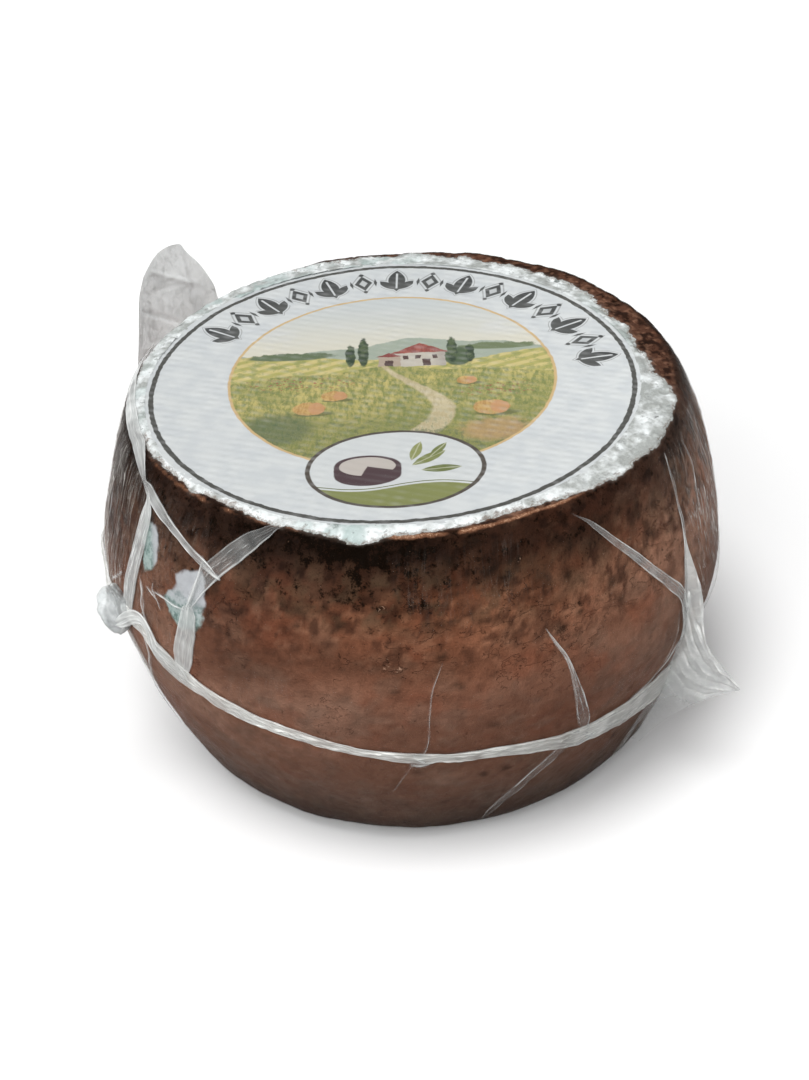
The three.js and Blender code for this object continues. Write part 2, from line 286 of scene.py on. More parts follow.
# --------------------------------------------------------------------------
# Node materials written as expressions
# --------------------------------------------------------------------------
class V:
    """A node output that takes part in arithmetic."""

    def __init__(self, m, s):
        self.m, self.s = m, s

    def __add__(self, o): return self.m.math("ADD", self, o)
    def __radd__(self, o): return self.m.math("ADD", o, self)
    def __sub__(self, o): return self.m.math("SUBTRACT", self, o)
    def __rsub__(self, o): return self.m.math("SUBTRACT", o, self)
    def __mul__(self, o): return self.m.math("MULTIPLY", self, o)
    def __rmul__(self, o): return self.m.math("MULTIPLY", o, self)
    def __truediv__(self, o): return self.m.math("DIVIDE", self, o)
    def __rtruediv__(self, o): return self.m.math("DIVIDE", o, self)
    def __neg__(self): return self.m.math("MULTIPLY", self, -1.0)
    def __pow__(self, o): return self.m.math("POWER", self, o)
    def __abs__(self): return self.m.math("ABSOLUTE", self)
    def sin(self): return self.m.math("SINE", self)
    def min(self, o): return self.m.math("MINIMUM", self, o)
    def max(self, o): return self.m.math("MAXIMUM", self, o)
    def clip(self): return self.m.math("ADD", self, 0.0, clamp=True)
    def ss(self, a, b): return self.m.ramp(self, a, b)


class Material:
    def __init__(self, name):
        self.mat = bpy.data.materials.new(name)
        self.mat.use_nodes = True
        self.nt = self.mat.node_tree
        self.nt.nodes.clear()
        self.out = self.node("ShaderNodeOutputMaterial")

    def node(self, kind, **props):
        n = self.nt.nodes.new(kind)
        for k, v in props.items():
            setattr(n, k, v)
        return n

    def put(self, socket, value):
        if isinstance(value, V):
            self.nt.links.new(value.s, socket)
        elif value is not None:
            socket.default_value = value

    def math(self, op, a, b=None, c=None, clamp=False):
        n = self.node("ShaderNodeMath", operation=op, use_clamp=clamp)
        for i, v in enumerate((a, b, c)):
            if v is not None:
                self.put(n.inputs[i], v)
        return V(self, n.outputs[0])

    def ramp(self, x, a, b):
        n = self.node("ShaderNodeMapRange", interpolation_type="SMOOTHSTEP", clamp=True)
        self.put(n.inputs["Value"], x)
        n.inputs["From Min"].default_value = a
        n.inputs["From Max"].default_value = b
        return V(self, n.outputs["Result"])

    def line(self, x, a, b, c=0.0, d=1.0):
        n = self.node("ShaderNodeMapRange", clamp=True)
        self.put(n.inputs["Value"], x)
        for k, v in (("From Min", a), ("From Max", b), ("To Min", c), ("To Max", d)):
            n.inputs[k].default_value = v
        return V(self, n.outputs["Result"])

    def mix(self, f, a, b, blend="MIX"):
        n = self.node("ShaderNodeMix", data_type="RGBA", blend_type=blend, clamp_factor=True)
        self.put(n.inputs[0], f)
        self.put(n.inputs[6], a)
        self.put(n.inputs[7], b)
        return V(self, n.outputs[2])

    def mixf(self, f, a, b):
        n = self.node("ShaderNodeMix", data_type="FLOAT", clamp_factor=True)
        self.put(n.inputs[0], f)
        self.put(n.inputs[2], a)
        self.put(n.inputs[3], b)
        return V(self, n.outputs[0])

    def attr(self, name):
        n = self.node("ShaderNodeAttribute", attribute_name=name)
        return V(self, n.outputs["Fac"])

    def place(self, scale=1000.0):
        """Object coordinates in mm."""
        tc = self.node("ShaderNodeTexCoord")
        n = self.node("ShaderNodeVectorMath", operation="SCALE")
        self.nt.links.new(tc.outputs["Object"], n.inputs[0])
        n.inputs["Scale"].default_value = scale
        return V(self, n.outputs[0])

    def uv(self):
        n = self.node("ShaderNodeUVMap", uv_map="UVMap")
        return V(self, n.outputs[0])

    def split(self, v):
        n = self.node("ShaderNodeSeparateXYZ")
        self.put(n.inputs[0], v)
        return [V(self, o) for o in n.outputs]

    def join(self, x, y, z=0.0):
        n = self.node("ShaderNodeCombineXYZ")
        for i, v in enumerate((x, y, z)):
            self.put(n.inputs[i], v)
        return V(self, n.outputs[0])

    def noise(self, vec, scale, detail=3.0, rough=0.5, distort=0.0):
        n = self.node("ShaderNodeTexNoise")
        self.put(n.inputs["Vector"], vec)
        n.inputs["Scale"].default_value = scale
        n.inputs["Detail"].default_value = detail
        n.inputs["Roughness"].default_value = rough
        n.inputs["Distortion"].default_value = distort
        return V(self, n.outputs["Fac"])

    def voronoi(self, vec, scale, feature="F1", random=1.0):
        n = self.node("ShaderNodeTexVoronoi", feature=feature)
        self.put(n.inputs["Vector"], vec)
        n.inputs["Scale"].default_value = scale
        n.inputs["Randomness"].default_value = random
        return V(self, n.outputs["Distance"])

    def shift(self, vec, by, amount):
        """vec moved by a noise, for ragged edges."""
        n = self.node("ShaderNodeTexNoise")
        self.put(n.inputs["Vector"], vec)
        n.inputs["Scale"].default_value = by
        n.inputs["Detail"].default_value = 3.0
        c = self.node("ShaderNodeVectorMath", operation="SUBTRACT")
        self.nt.links.new(n.outputs["Color"], c.inputs[0])
        c.inputs[1].default_value = (0.5, 0.5, 0.5)
        k = self.node("ShaderNodeVectorMath", operation="SCALE")
        self.nt.links.new(c.outputs[0], k.inputs[0])
        k.inputs["Scale"].default_value = amount
        a = self.node("ShaderNodeVectorMath", operation="ADD")
        self.put(a.inputs[0], vec)
        self.nt.links.new(k.outputs[0], a.inputs[1])
        return V(self, a.outputs[0])

    def bump(self, height, strength=1.0, distance=0.0005, onto=None):
        n = self.node("ShaderNodeBump")
        n.inputs["Strength"].default_value = strength
        n.inputs["Distance"].default_value = distance
        self.put(n.inputs["Height"], height)
        if onto is not None:
            self.put(n.inputs["Normal"], onto)
        return V(self, n.outputs[0])

    def finish(self, **sockets):
        p = self.node("ShaderNodeBsdfPrincipled")
        for k, v in sockets.items():
            self.put(p.inputs[k.replace("_", " ")], v)
        self.nt.links.new(p.outputs[0], self.out.inputs[0])
        return self.mat


# --------------------------------------------------------------------------
# Where the mould grows: signed distances in mm, positive inside
# --------------------------------------------------------------------------
BLOOM = (  # azimuth from the label's centre, and the bloom's outer radius there
    (-176.7, 79.1), (-170.5, 79.0), (-163.4, 77.4), (-156.3, 77.2), (-147.6, 76.6), (-141.4, 76.4), (-137.8, 78.2), (-134.1, 76.0),
    (-127.5, 76.5), (-119.5, 77.1), (-110, 78.5), (-102.8, 80.3), (-97.3, 81.6), (-92, 79.4), (-87.7, 78.4), (-80, 77.6),
    (-71.6, 77.3), (-61, 77.3), (-53.7, 79.4), (-48, 80.7), (-42, 83.2), (-35.6, 83.2), (-26.8, 85.6), (-19.5, 85.1),
    (-12, 85.0), (-6, 83.8), (-1, 78.6), (6, 78.2), (12, 76.9), (21, 78.7), (26.7, 78.0), (37.6, 81.2), (48.7, 81.7),
    (57.5, 82.0), (64.5, 80.9), (71.4, 83.0), (78.6, 82.0), (84.1, 84.4), (88.4, 82.0), (95.4, 82.5), (101.8, 80.6),
    (106.4, 82.1), (112.6, 82.0), (119.5, 83.2), (126, 82.9), (140.4, 83.6), (147.6, 82.0), (158, 81.0), (170, 79.8), (183.3, 79.1))


def bloom_edge(phi):
    a = (np.asarray(phi) + 176.7) % 360.0 - 176.7
    return np.interp(a, [k[0] for k in BLOOM], [k[1] for k in BLOOM])


def bloom(p):
    """How far a point of the top lies inside the bloom."""
    x, y = p[:, 0] - LABEL_X, p[:, 1] - LABEL_Y
    r, a = np.hypot(x, y), np.degrees(np.arctan2(y, x))
    q = np.stack([np.cos(np.radians(a)) * 78, np.sin(np.radians(a)) * 78, a * 0], 1)
    ragged = 0.5 * fbm(q / 9.0, 2, 5) + 0.9 * fbm(p / 2.4, 3, 9)
    return bloom_edge(a) + ragged - r - np.clip(HEIGHT - p[:, 2], 0, 30) * 0.9


PATCHES = (  # outlines on the flank as azimuth and height
    ((-148.6, 101.8), (-145.2, 103.6), (-143.6, 101.0), (-143.4, 97.6), (-142.9, 94.2), (-144.2, 89.6), (-146.6, 87.4), (-147.6, 90.0), (-148.2, 95.6)),
    ((-139.4, 87.0), (-137.2, 90.2), (-137.6, 93.2), (-135.0, 96.2), (-131.4, 98.6), (-130.2, 95.8), (-129.6, 88.4), (-130.6, 82.0), (-131.6, 78.8),
     (-136.0, 76.4), (-137.8, 78.6), (-139.2, 81.4), (-140.4, 84.2)),
)


def patches(phi, z, p):
    """How far a point of the flank lies inside a patch of mould."""
    best = np.full(len(phi), -20.0)
    q = np.stack([phi * 1.62, z], 1)
    for outline in PATCHES:
        line = np.array([(x * 1.62, y) for x, y in outline + outline[:1]])
        box = (np.abs(q - line.mean(0)) < 22).all(1)
        pts = q[box]
        d, _ = distance(pts, line)
        odd = np.zeros(len(pts), bool)
        for (x0, y0), (x1, y1) in zip(line[:-1], line[1:]):
            over = (y0 > pts[:, 1]) != (y1 > pts[:, 1])
            odd ^= over & (pts[:, 0] < (x1 - x0) * (pts[:, 1] - y0) / (y1 - y0 + 1e-12) + x0)
        best[box] = np.maximum(best[box], np.where(odd, d, -d))
    return best + 0.55 * fbm(p / 2.4, 2, 31)


# --------------------------------------------------------------------------
# Relief of the rind, in mm, at points of the smooth form
# --------------------------------------------------------------------------
def rind_relief(p, phi, s):
    z = p[:, 2]
    up = smooth(z, 70, 112)
    h = 0.50 * fbm(p / 34.0, 3, 2) + 0.22 * fbm(p / 11.0, 3, 3)
    h += (0.07 + 0.13 * up) * fbm(p / 3.6, 3, 4)
    # shallow pits and cracks, more of them towards the rim
    pit = cells(p / 6.5, 41)
    h -= 0.42 * smooth(0.30 - pit, 0, 0.22) * (0.35 + 0.65 * up) * (noise(p / 17.0, 8) > 0.42)
    ridge = 1 - np.abs(fbm(p / 9.0, 3, 12))
    h -= 0.30 * smooth(ridge, 0.93, 1.0) * smooth(fbm(p / 20.0, 2, 13), -0.1, 0.5)
    # a pressed lip along the rim
    lip = bell(s, S_RIM - 1.6, 1.3) * (0.55 + 0.45 * fbm(p / 14.0, 2, 21))
    h += 0.55 * lip
    h -= 0.25 * bell(s, S_RIM - 4.6, 2.2)
    # crumbly crust on the outer top at the right and the back
    top = smooth(s, S_RIM - 2.5, S_RIM + 0.5)
    f = wrap(phi)
    crumb = 0.35 + 0.65 * bell(wrap(f - 42), 0, 24) + 0.3 * bell(wrap(f - 84), 0, 22)
    h += top * crumb * (0.38 * fbm(p / 2.3, 3, 23) + 0.16 * smooth(0.6 - cells(p / 2.1, 24), 0, 0.5))
    flat = smooth(s, S_FOOT - 1, S_FOOT + 10)   # the foot stays flat
    under = 1 - smooth(s, S_RIM + 4, S_RIM + 9)  # so does what the label covers
    return h * (0.12 + 0.88 * flat) * under


SPOTS = (  # dark marks and pits: azimuth, height, radius in mm, strength
    (-78.4, 114.4, 1.7, 0.9), (-83.4, 109.6, 2.0, 0.7), (-76.8, 105.6, 1.6, 0.7), (-73.9, 103.1, 1.9, 0.7), (-65.8, 98.4, 1.5, 0.55),
    (-61.5, 99.5, 1.4, 0.5), (-59.6, 107.0, 2.1, 0.6), (-60.0, 86.6, 1.4, 0.7), (-64.3, 84.5, 1.7, 0.65), (-76.0, 92.1, 1.3, 0.4),
    (-52.6, 90.9, 1.5, 0.45), (-51.1, 85.2, 1.5, 0.45), (-103.6, 92.4, 1.4, 0.75), (-85.8, 83.0, 1.5, 1.0), (-93.8, 72.4, 1.3, 0.5),
    (-88.8, 69.7, 1.2, 0.4), (-83.2, 73.6, 1.3, 0.45), (-77.1, 75.7, 1.4, 0.35), (-74.1, 34.9, 1.3, 0.6), (-78.2, 33.5, 1.2, 0.5),
    (-91.0, 37.7, 1.4, 0.6), (-47.1, 24.7, 1.3, 0.55), (-77.5, 57.5, 1.2, 0.5),
)


def rind_colour(p, phi, s, h):
    """Linear colour of the rind at each point, and the masks its material uses."""
    z = p[:, 2]

    def blend(col, rgb, f):
        f = np.clip(f, 0, 1)[:, None]
        return col * (1 - f) + np.array(rgb, float) * f

    lie = np.stack([p[:, 0], p[:, 1], z * 1.6], 1)     # features drawn out a little round the wheel
    busy = 0.30 + 0.70 * smooth(z, 72, 94)             # the flank is calmer than the shoulder
    base = blend(np.tile(np.array((116.0, 77.0, 60.0)), (len(p), 1)), (134, 96, 78), smooth(fbm(p / 30.0, 4, 81), -0.35, 0.45))
    col = blend(base, (124, 71, 52), 0.40 * smooth(fbm(p / 13.0, 4, 82), 0.05, 0.65))
    col = blend(col, (112, 89, 76), 0.40 * smooth(fbm(lie / 8.5, 4, 83), 0.05, 0.60))
    col = blend(col, (78, 50, 39), 0.42 * smooth(-fbm(lie / 7.0, 4, 84), 0.10, 0.65) * busy)
    col = blend(col, (156, 118, 98), 0.50 * smooth(fbm(lie / 3.2, 3, 85), 0.15, 0.70) * busy)
    col = blend(col, (60, 39, 31), 0.66 * smooth(-fbm(p / 2.8, 3, 86), 0.12, 0.60) * busy ** 1.3)
    # duller towards the floor and the right; darker at the foot, a painted shade where the wheel meets the floor; and
    # far darker towards the rim, the rind's own dark colour there deepened by painted shade under the lip
    dull = 0.15 * smooth(z, 84, 58) + 0.26 * smooth(z, 46, 12) + 0.20 * bell(wrap(phi + 20), 0, 26) * smooth(z, 20, 60)
    col = blend(col, (col * (0.3, 0.6, 0.1)).sum(1, keepdims=True) * (1.08, 1.0, 0.94), dull)
    at = (z + 1.8 + 3.0 * fbm(lie / 15.0, 3, 95) + 3.6 * fbm(p / 4.2, 3, 96) + 1.5 * bell(wrap(phi + 105), 0, 34)
          + 1.5 * bell(wrap(phi + 60), 0, 12) - 8.0 * bell(wrap(phi + 16), 0, 18) - 2.0 * bell(wrap(phi + 40), 0, 7))
    tone_and_painted_shade = np.interp(z, [0, 5, 10, 16, 24, 32, 45, 60, 72], [0.33, 0.46, 0.61, 0.79, 0.94, 1.02, 1.07, 1.08, 1.04])
    tone_and_painted_shade *= np.interp(at, [72, 86, 92, 96, 99, 102, 105, 107, 109, 111, 114, 118],
                       [1.0, 1.0, 0.97, 0.93, 0.87, 0.78, 0.68, 0.62, 0.55, 0.50, 0.46, 0.45])
    tone_and_painted_shade *= 1 - 0.48 * bell(wrap(phi + 104), 0, 24) * smooth(z, 107, 113)
    tone_and_painted_shade *= 1 - 0.42 * bell(wrap(phi + 168), 0, 22) * smooth(z, 62, 92)
    # painted shade low on the front left, as cast by a neighbouring object that is not modelled
    tone_and_painted_shade *= 1 - 0.19 * bell(wrap(phi + 122), 0, 13) * smooth(z, 58, 72)
    tone_and_painted_shade *= 1 - 0.20 * bell(wrap(phi + 98), 0, 16) * bell(z, 81.0, 4.5)
    tone_and_painted_shade *= 1 + 0.13 * bell(wrap(phi + 22), 0, 20) * smooth(z, 60, 78) * smooth(z, 104, 96)
    tone_and_painted_shade *= 1 - 0.03 * bell(wrap(phi + 6), 0, 26) * smooth(z, 70, 88)
    col = col * tone_and_painted_shade[:, None]
    warm = (smooth(z, 62, 104) * bell(wrap(phi + 84), 0, 40))[:, None]
    col = col * (1 - warm * (0.0, 0.075, 0.17))
    # grey-brown crust in a loose belt under the rim
    crust = smooth(fbm(p / 4.4, 4, 87), -0.12, 0.32) * smooth(z, 89, 96) * smooth(z, 113, 106)
    col = blend(col, (80, 63, 48), crust * (0.22 + 0.44 * bell(wrap(phi + 96), 0, 24)))
    # black, mottled, right under the rim
    black = (np.interp(at, [0, 80, 94, 100, 106, 112, 116.5], [-1.0, -0.66, -0.40, -0.20, -0.07, 0.04, 0.14])
             + 0.12 * bell(wrap(phi + 96), 0, 22) - 0.14 * bell(wrap(phi + 38), 0, 30)
             + 0.30 * bell(wrap(phi + 103), 0, 13) * smooth(z, 108, 112.5)
             - 0.12 * bell(wrap(phi + 74), 0, 8) + 0.17 * fbm(lie / 7.0, 4, 88) + 0.20 * fbm(p / 2.6, 3, 89))
    # dark marks, scattered
    ragged = 0.55 * fbm(p / 1.7, 2, 99)
    mark = 0.50 * smooth(0.20 - cells(p / 8.5, 98), 0, 0.12) * (noise(p / 13.0, 100) > 0.55) * (0.25 + 0.75 * smooth(z, 72, 90))
    for a, at_z, wide, strong in SPOTS:
        q = np.hypot(wrap(phi - a) * 1.42, (z - at_z) * 1.2) / wide + ragged
        mark = np.maximum(mark, strong * np.exp(-q * np.abs(q)))
    mark = np.where(s < S_RIM - 0.5, np.minimum(mark, 1.0), 0)
    col = blend(col, (28, 20, 15), 0.85 * mark)
    # brown crumbs on the flat outside the mould
    top = smooth(s, S_RIM - 1.2, S_RIM + 0.6)
    col = blend(col, (88, 59, 46), 0.85 * top)
    col = blend(col, (38, 24, 18), 0.85 * top * smooth(-fbm(p / 2.2, 3, 91), -0.12, 0.35))
    col = blend(col, (140, 104, 84), 0.60 * top * smooth(fbm(p / 1.5, 2, 92), 0.18, 0.55))
    # a thin lip on the edge with a painted coppery highlight, plainest at the front right, lower under the mould at the
    # left
    low = smooth(-wrap(phi + 66), 0, 18)
    lip = bell(s, S_RIM - 0.45 - 0.95 * low, 0.74 + 0.10 * low) * smooth(fbm(p / 10.0, 3, 90), -0.75, 0.05)
    lip *= np.clip(0.22 + 0.78 * smooth(wrap(phi + 98), 0, 6) * smooth(-wrap(phi + 48), 0, 14) + 0.36 * bell(wrap(phi + 132), 0, 17), 0, 1)
    black = black - 0.9 * lip - 0.22 * top
    crack = smooth(fbm(p / 14.0, 3, 93), 0.0, 0.45) * (0.35 + 0.65 * smooth(z, 45, 80)) * (1 - top)
    torn = bell(wrap(phi + 91), 0, 11) * bell(z, 81, 4.5)
    crack = np.maximum(crack, torn)
    # pale flecks of the rind, and at the front left painted glints of the film
    fleck_and_glint = 0.55 * smooth(fbm(lie / 10.0, 3, 94), 0.25, 0.7)
    fleck_and_glint = np.maximum(fleck_and_glint, np.maximum(bell(wrap(phi + 94), 0, 4.5) * bell(z, 99.5, 7.5), 0.8 * torn))
    c = col / 255.0
    col = np.where(c <= 0.04045, c / 12.92, ((c + 0.055) / 1.055) ** 2.4)
    return col, black, crack, fleck_and_glint, lip


def wheel_rows():
    """Meridian stations of the rind's mesh, closer where more shows."""
    return np.concatenate([
        [0.3, 9, 22, 36, 48, 58],
        np.linspace(64, S_FOOT + 12, 14),
        np.linspace(S_FOOT + 12, S_RIM - 7, 86)[1:],
        np.linspace(S_RIM - 7, S_RIM + 8, 43)[1:],
        np.array([S_RIM + 12, S_RIM + 22, S_RIM + 40, S_RIM + 60, S_END - 0.3]),
    ])


def make_wheel():
    global RELIEF
    rows, cols = wheel_rows(), 620
    phi, s = np.meshgrid(np.arange(cols) * 360.0 / cols - 180.0, rows, indexing="ij")
    smoothp = surf(phi, s).reshape(-1, 3)
    fp, fs = phi.ravel(), s.ravel()
    h = rind_relief(smoothp, fp, fs)
    RELIEF = Relief(phi[:, 0], rows, h.reshape(phi.shape))
    pts = surf(phi, s, h.reshape(phi.shape))
    pts[..., 2] = np.maximum(pts[..., 2], 0.0)
    white = np.where(smoothp[:, 2] > HEIGHT - 8, bloom(smoothp), -20.0)
    spots = patches(fp, smoothp[:, 2], smoothp)
    col, black, crack, fleck_and_glint, lip = rind_colour(smoothp, fp, fs, h)
    ob = grid_mesh("cheese_rind", pts, close=True,
                   attrs={"bloom": white, "patch": spots, "black": black, "crack": crack, "fleck_and_glint": fleck_and_glint, "lip": lip,
                          "red": col[:, 0], "green": col[:, 1], "blue": col[:, 2]})
    # close the two poles
    me = ob.data
    import bmesh
    bm = bmesh.new()
    bm.from_mesh(me)
    ends = [e for e in bm.edges if e.is_boundary]
    bmesh.ops.holes_fill(bm, edges=ends, sides=0)
    bmesh.ops.recalc_face_normals(bm, faces=bm.faces)
    bm.to_mesh(me)
    bm.free()
    return ob


def rind_material():
    m = Material("rind")
    p = m.place()
    med = m.noise(p, 0.36, 4, 0.64)
    fine = m.noise(p, 1.9, 2, 0.62)
    col = m.join(m.attr("red"), m.attr("green"), m.attr("blue"))
    px, py, pz = m.split(p)
    busy = m.line(pz, 68.0, 98.0, 0.42, 1.15)
    k = m.node("ShaderNodeVectorMath", operation="SCALE")
    m.put(k.inputs[0], col)
    m.put(k.inputs["Scale"], 1.0 + ((med - 0.5) * 1.15 + (fine - 0.5) * 0.75) * busy)
    col = V(m, k.outputs[0])
    # black that thickens towards the rim and breaks up into crumbs
    black = m.attr("black") + (med - 0.5) * 2.1 + (fine - 0.5) * 1.0
    col = m.mix(m.ramp(black, -0.20, 0.55) * 0.58, col, lin(36, 18, 8))
    col = m.mix(m.ramp(black, 0.08, 0.50) * 0.95, col, lin(9, 4, 1))
    # short cracks and pale flakes along the contours of one wandering noise, and pits; the flakes and pale specks also
    # serve as painted glints
    wander = m.noise(m.join(px, py, pz * 1.7), 0.12, 4, 0.56)
    fleck_and_glint = m.attr("fleck_and_glint")
    crack = m.ramp(abs(wander - 0.5), 0.015, 0.003) * m.ramp(m.attr("crack") * 0.30 + med, 0.64, 0.78)
    col = m.mix(crack * (busy * 0.30 + 0.06), col, lin(34, 20, 14))
    flake_and_glint = m.ramp(abs(wander - 0.54), 0.017, 0.004) * m.ramp(fleck_and_glint * 0.42 + med, 0.84, 0.95)
    col = m.mix(flake_and_glint * 0.72, col, lin(176, 142, 120))
    col = m.mix(m.ramp(fine + (med - 0.5) * 0.4, 0.68, 0.80) * (fleck_and_glint * 0.45 + 0.05), col, lin(164, 128, 106))
    pit = m.ramp(med + (fine - 0.5) * 0.2, 0.335, 0.285) * (m.attr("crack") * 0.6 + 0.4)
    col = m.mix(pit * (busy * 0.55 + 0.12), col, lin(26, 16, 12))
    # the lip's lighter brown and bright coppery specks: a painted highlight along the rim
    lip = m.attr("lip")
    col = m.mix(m.ramp(lip + (med - 0.5) * 1.2, 0.10, 0.75) * m.ramp(lip, 0.0, 0.25) * 0.80, col, lin(126, 86, 64))
    col = m.mix(m.ramp(lip * 0.8 + (fine - 0.5) * 1.9 + (med - 0.5) * 1.3, 0.50, 1.05) * m.ramp(lip, 0.0, 0.35) * 0.80,
                col, lin(186, 148, 120))

    # mould: stains first, then the solid white
    bloom_d = m.attr("bloom") + (med - 0.5) * 2.2
    patch_d = m.attr("patch") + (med - 0.5) * 1.0
    pale = m.mix(m.ramp(med, 0.56, 0.38), lin(182, 186, 184), lin(120, 125, 123))
    col = m.mix(m.ramp(bloom_d, -1.6, 0.3) * 0.30, col, lin(118, 106, 98))
    col = m.mix(m.ramp(bloom_d, -0.35, 0.25), col, pale)
    lilac = m.ramp(pz + (med - 0.5) * 14.0, 82.0, 90.0) * m.ramp(px, -76.0, -73.5)
    green = m.mix(m.ramp(med + (fine - 0.5) * 0.4, 0.36, 0.62), lin(106, 130, 125), lin(164, 182, 178))
    green = m.mix(lilac * 0.85, green, lin(188, 189, 194))
    col = m.mix(m.ramp(patch_d, -0.5, 0.9) * 0.94, col, green)
    mould = m.ramp(bloom_d, -0.35, 0.3)
    smoothed = m.ramp(patch_d, -0.3, 0.4)

    height = med * 0.95 + fine * 0.30 - crack * 0.6 - pit * 0.5
    rough = m.line(med, 0.3, 0.7, 0.62, 0.44)
    rough = m.mixf(mould, rough, 0.75)
    strength = m.mixf(smoothed, 0.80, 0.20)
    bump = m.bump(height, 0.85, 0.0006)
    m.put(bump.s.node.inputs["Strength"], strength)
    return m.finish(Base_Color=col, Roughness=rough, Specular_IOR_Level=0.02, Normal=bump)


# --------------------------------------------------------------------------
# The thick, crumbly part of the bloom, with real edges
# --------------------------------------------------------------------------
def make_bloom():
    cols = 1400
    s = np.linspace(S_RIM - 4.5, S_RIM + 13.5, 52)
    phi, s = np.meshgrid(np.arange(cols) * 360.0 / cols - 180.0, s, indexing="ij")
    p0 = surf(phi, s).reshape(-1, 3)
    base = rind_relief(p0, phi.ravel(), s.ravel())
    d = bloom(p0) + 0.6 * fbm(p0 / 1.3, 3, 61) - 0.2
    thick = 0.10 + 0.16 * smooth(d, 0.2, 1.6) + 0.28 * smooth(d, 1.0, 5.0)
    thick *= 1 + 0.40 * fbm(p0 / 4.6, 3, 62) + 0.08 * fbm(p0 / 1.6, 2, 63)
    hole = cells(p0 / 5.0, 64)
    thick -= 0.45 * smooth(0.24 - hole, 0, 0.14) * (noise(p0 / 12.0, 65) > 0.58)
    x, y = p0[:, 0] - LABEL_X, p0[:, 1] - LABEL_Y
    near = smooth(np.hypot(x, y), LABEL_R + 1.8, LABEL_R)
    thick = thick * (1 - near) + (0.86 + 0.05 * fbm(p0 / 2.0, 2, 66)) * near
    h = base + np.where(d > 0, thick, -0.10)
    pts = surf(phi, s, h.reshape(phi.shape))
    gone = (d < -0.05) | (np.hypot(x, y) < LABEL_R - 0.7)
    f = phi.ravel()
    blue = (0.9 * bell(wrap(f + 104), 0, 9) + 0.75 * bell(wrap(f - 130), 0, 16) + 0.6 * bell(wrap(f - 96), 0, 14)
            + 0.35 * bell(wrap(f - 20), 0, 20) + 0.4 * bell(wrap(f + 178), 0, 14))
    tint = np.clip(blue * smooth(fbm(p0 / 5.0, 3, 67), -0.35, 0.35), 0, 1)
    # dark pits along the outer edge at the back right, and a few elsewhere
    where = bell(wrap(f - 56), 0, 13) + 0.35 * bell(wrap(f + 14), 0, 12) + 0.12
    pit = smooth(0.30 - cells(p0 / 4.6, 68), 0.0, 0.10) * (noise(p0 / 6.0, 69) < where * 0.9) * smooth(d, 0.2, 1.0) * smooth(d, 7.0, 3.5)
    h = h - 0.5 * pit
    pts = surf(phi, s, h.reshape(phi.shape))
    grey = np.clip(0.50 + 0.90 * fbm(p0 / 3.6, 4, 97) + 0.22 * bell(wrap(f + 10), 0, 60) - 0.50 * bell(wrap(f + 115), 0, 50), 0, 1)
    return grid_mesh("mould_bloom", pts, close=True, drop=gone,
                     attrs={"depth": d, "tint": tint, "pit": pit, "grey": grey})


def bloom_material():
    m = Material("mould")
    p = m.place()
    n = m.noise(p, 0.42, 4, 0.62)
    fuzz = m.noise(p, 2.1, 2, 0.65)
    tint, depth = m.attr("tint"), m.attr("depth")
    grey = (m.attr("grey") + (n - 0.5) * 2.0).clip()
    col = m.mix(grey, lin(216, 220, 220), lin(150, 153, 150))
    col = m.mix(tint * 0.9, col, lin(150, 168, 165))
    col = m.mix(m.ramp(n, 0.45, 0.31) * 0.66, col, lin(106, 110, 107))
    col = m.mix(m.attr("pit"), col, lin(46, 42, 39))
    col = m.mix(m.ramp(depth + (fuzz - 0.5) * 2.2 + (n - 0.5) * 3.4, 1.0, -0.2) * 0.70, col, lin(112, 98, 88))
    col = m.mix(m.ramp(fuzz, 0.56, 0.74) * 0.30, col, lin(226, 229, 229))
    height = n * 0.8 + fuzz * 0.35
    tone = m.node("ShaderNodeVectorMath", operation="SCALE")
    m.put(tone.inputs[0], col)
    tone.inputs["Scale"].default_value = 1.09
    col = V(m, tone.outputs[0])
    return m.finish(Base_Color=col, Roughness=0.75, Specular_IOR_Level=0.2,
                    Coat_Weight=0.06, Coat_Roughness=0.3, Normal=m.bump(height, 0.35, 0.0005))


# --------------------------------------------------------------------------
# The label
# --------------------------------------------------------------------------
def label_height(x, y):
    q = np.stack([x, y, x * 0], -1).reshape(-1, 3)
    h = 0.16 * fbm(q / 24.0, 2, 71) + 0.05 * fbm(q / 8.0, 2, 72)
    return h.reshape(np.shape(x))


def make_label():
    cols = 400
    r = np.concatenate([[0.4], np.linspace(2, LABEL_R - 0.25, 52), [LABEL_R - 0.05]])
    a, r = np.meshgrid(np.arange(cols) * 2 * np.pi / cols, r, indexing="ij")
    edge = 1 + 0.0016 * np.sin(7 * a + 1) + 0.0012 * np.sin(17 * a)
    x, y = r * edge * np.cos(a), r * edge * np.sin(a)
    top = np.stack([x + LABEL_X, y + LABEL_Y, LABEL_BOTTOM + LABEL_T + label_height(x, y)], -1)
    low = top[:, ::-1].copy()
    low[..., 2] -= LABEL_T * 0.9
    pts = np.concatenate([top, low], 1)
    ob = grid_mesh("round_label", pts, close=True)
    import bmesh
    bm = bmesh.new()
    bm.from_mesh(ob.data)
    bmesh.ops.holes_fill(bm, edges=[e for e in bm.edges if e.is_boundary], sides=0)
    bmesh.ops.recalc_face_normals(bm, faces=bm.faces)
    bm.to_mesh(ob.data)
    bm.free()
    return ob


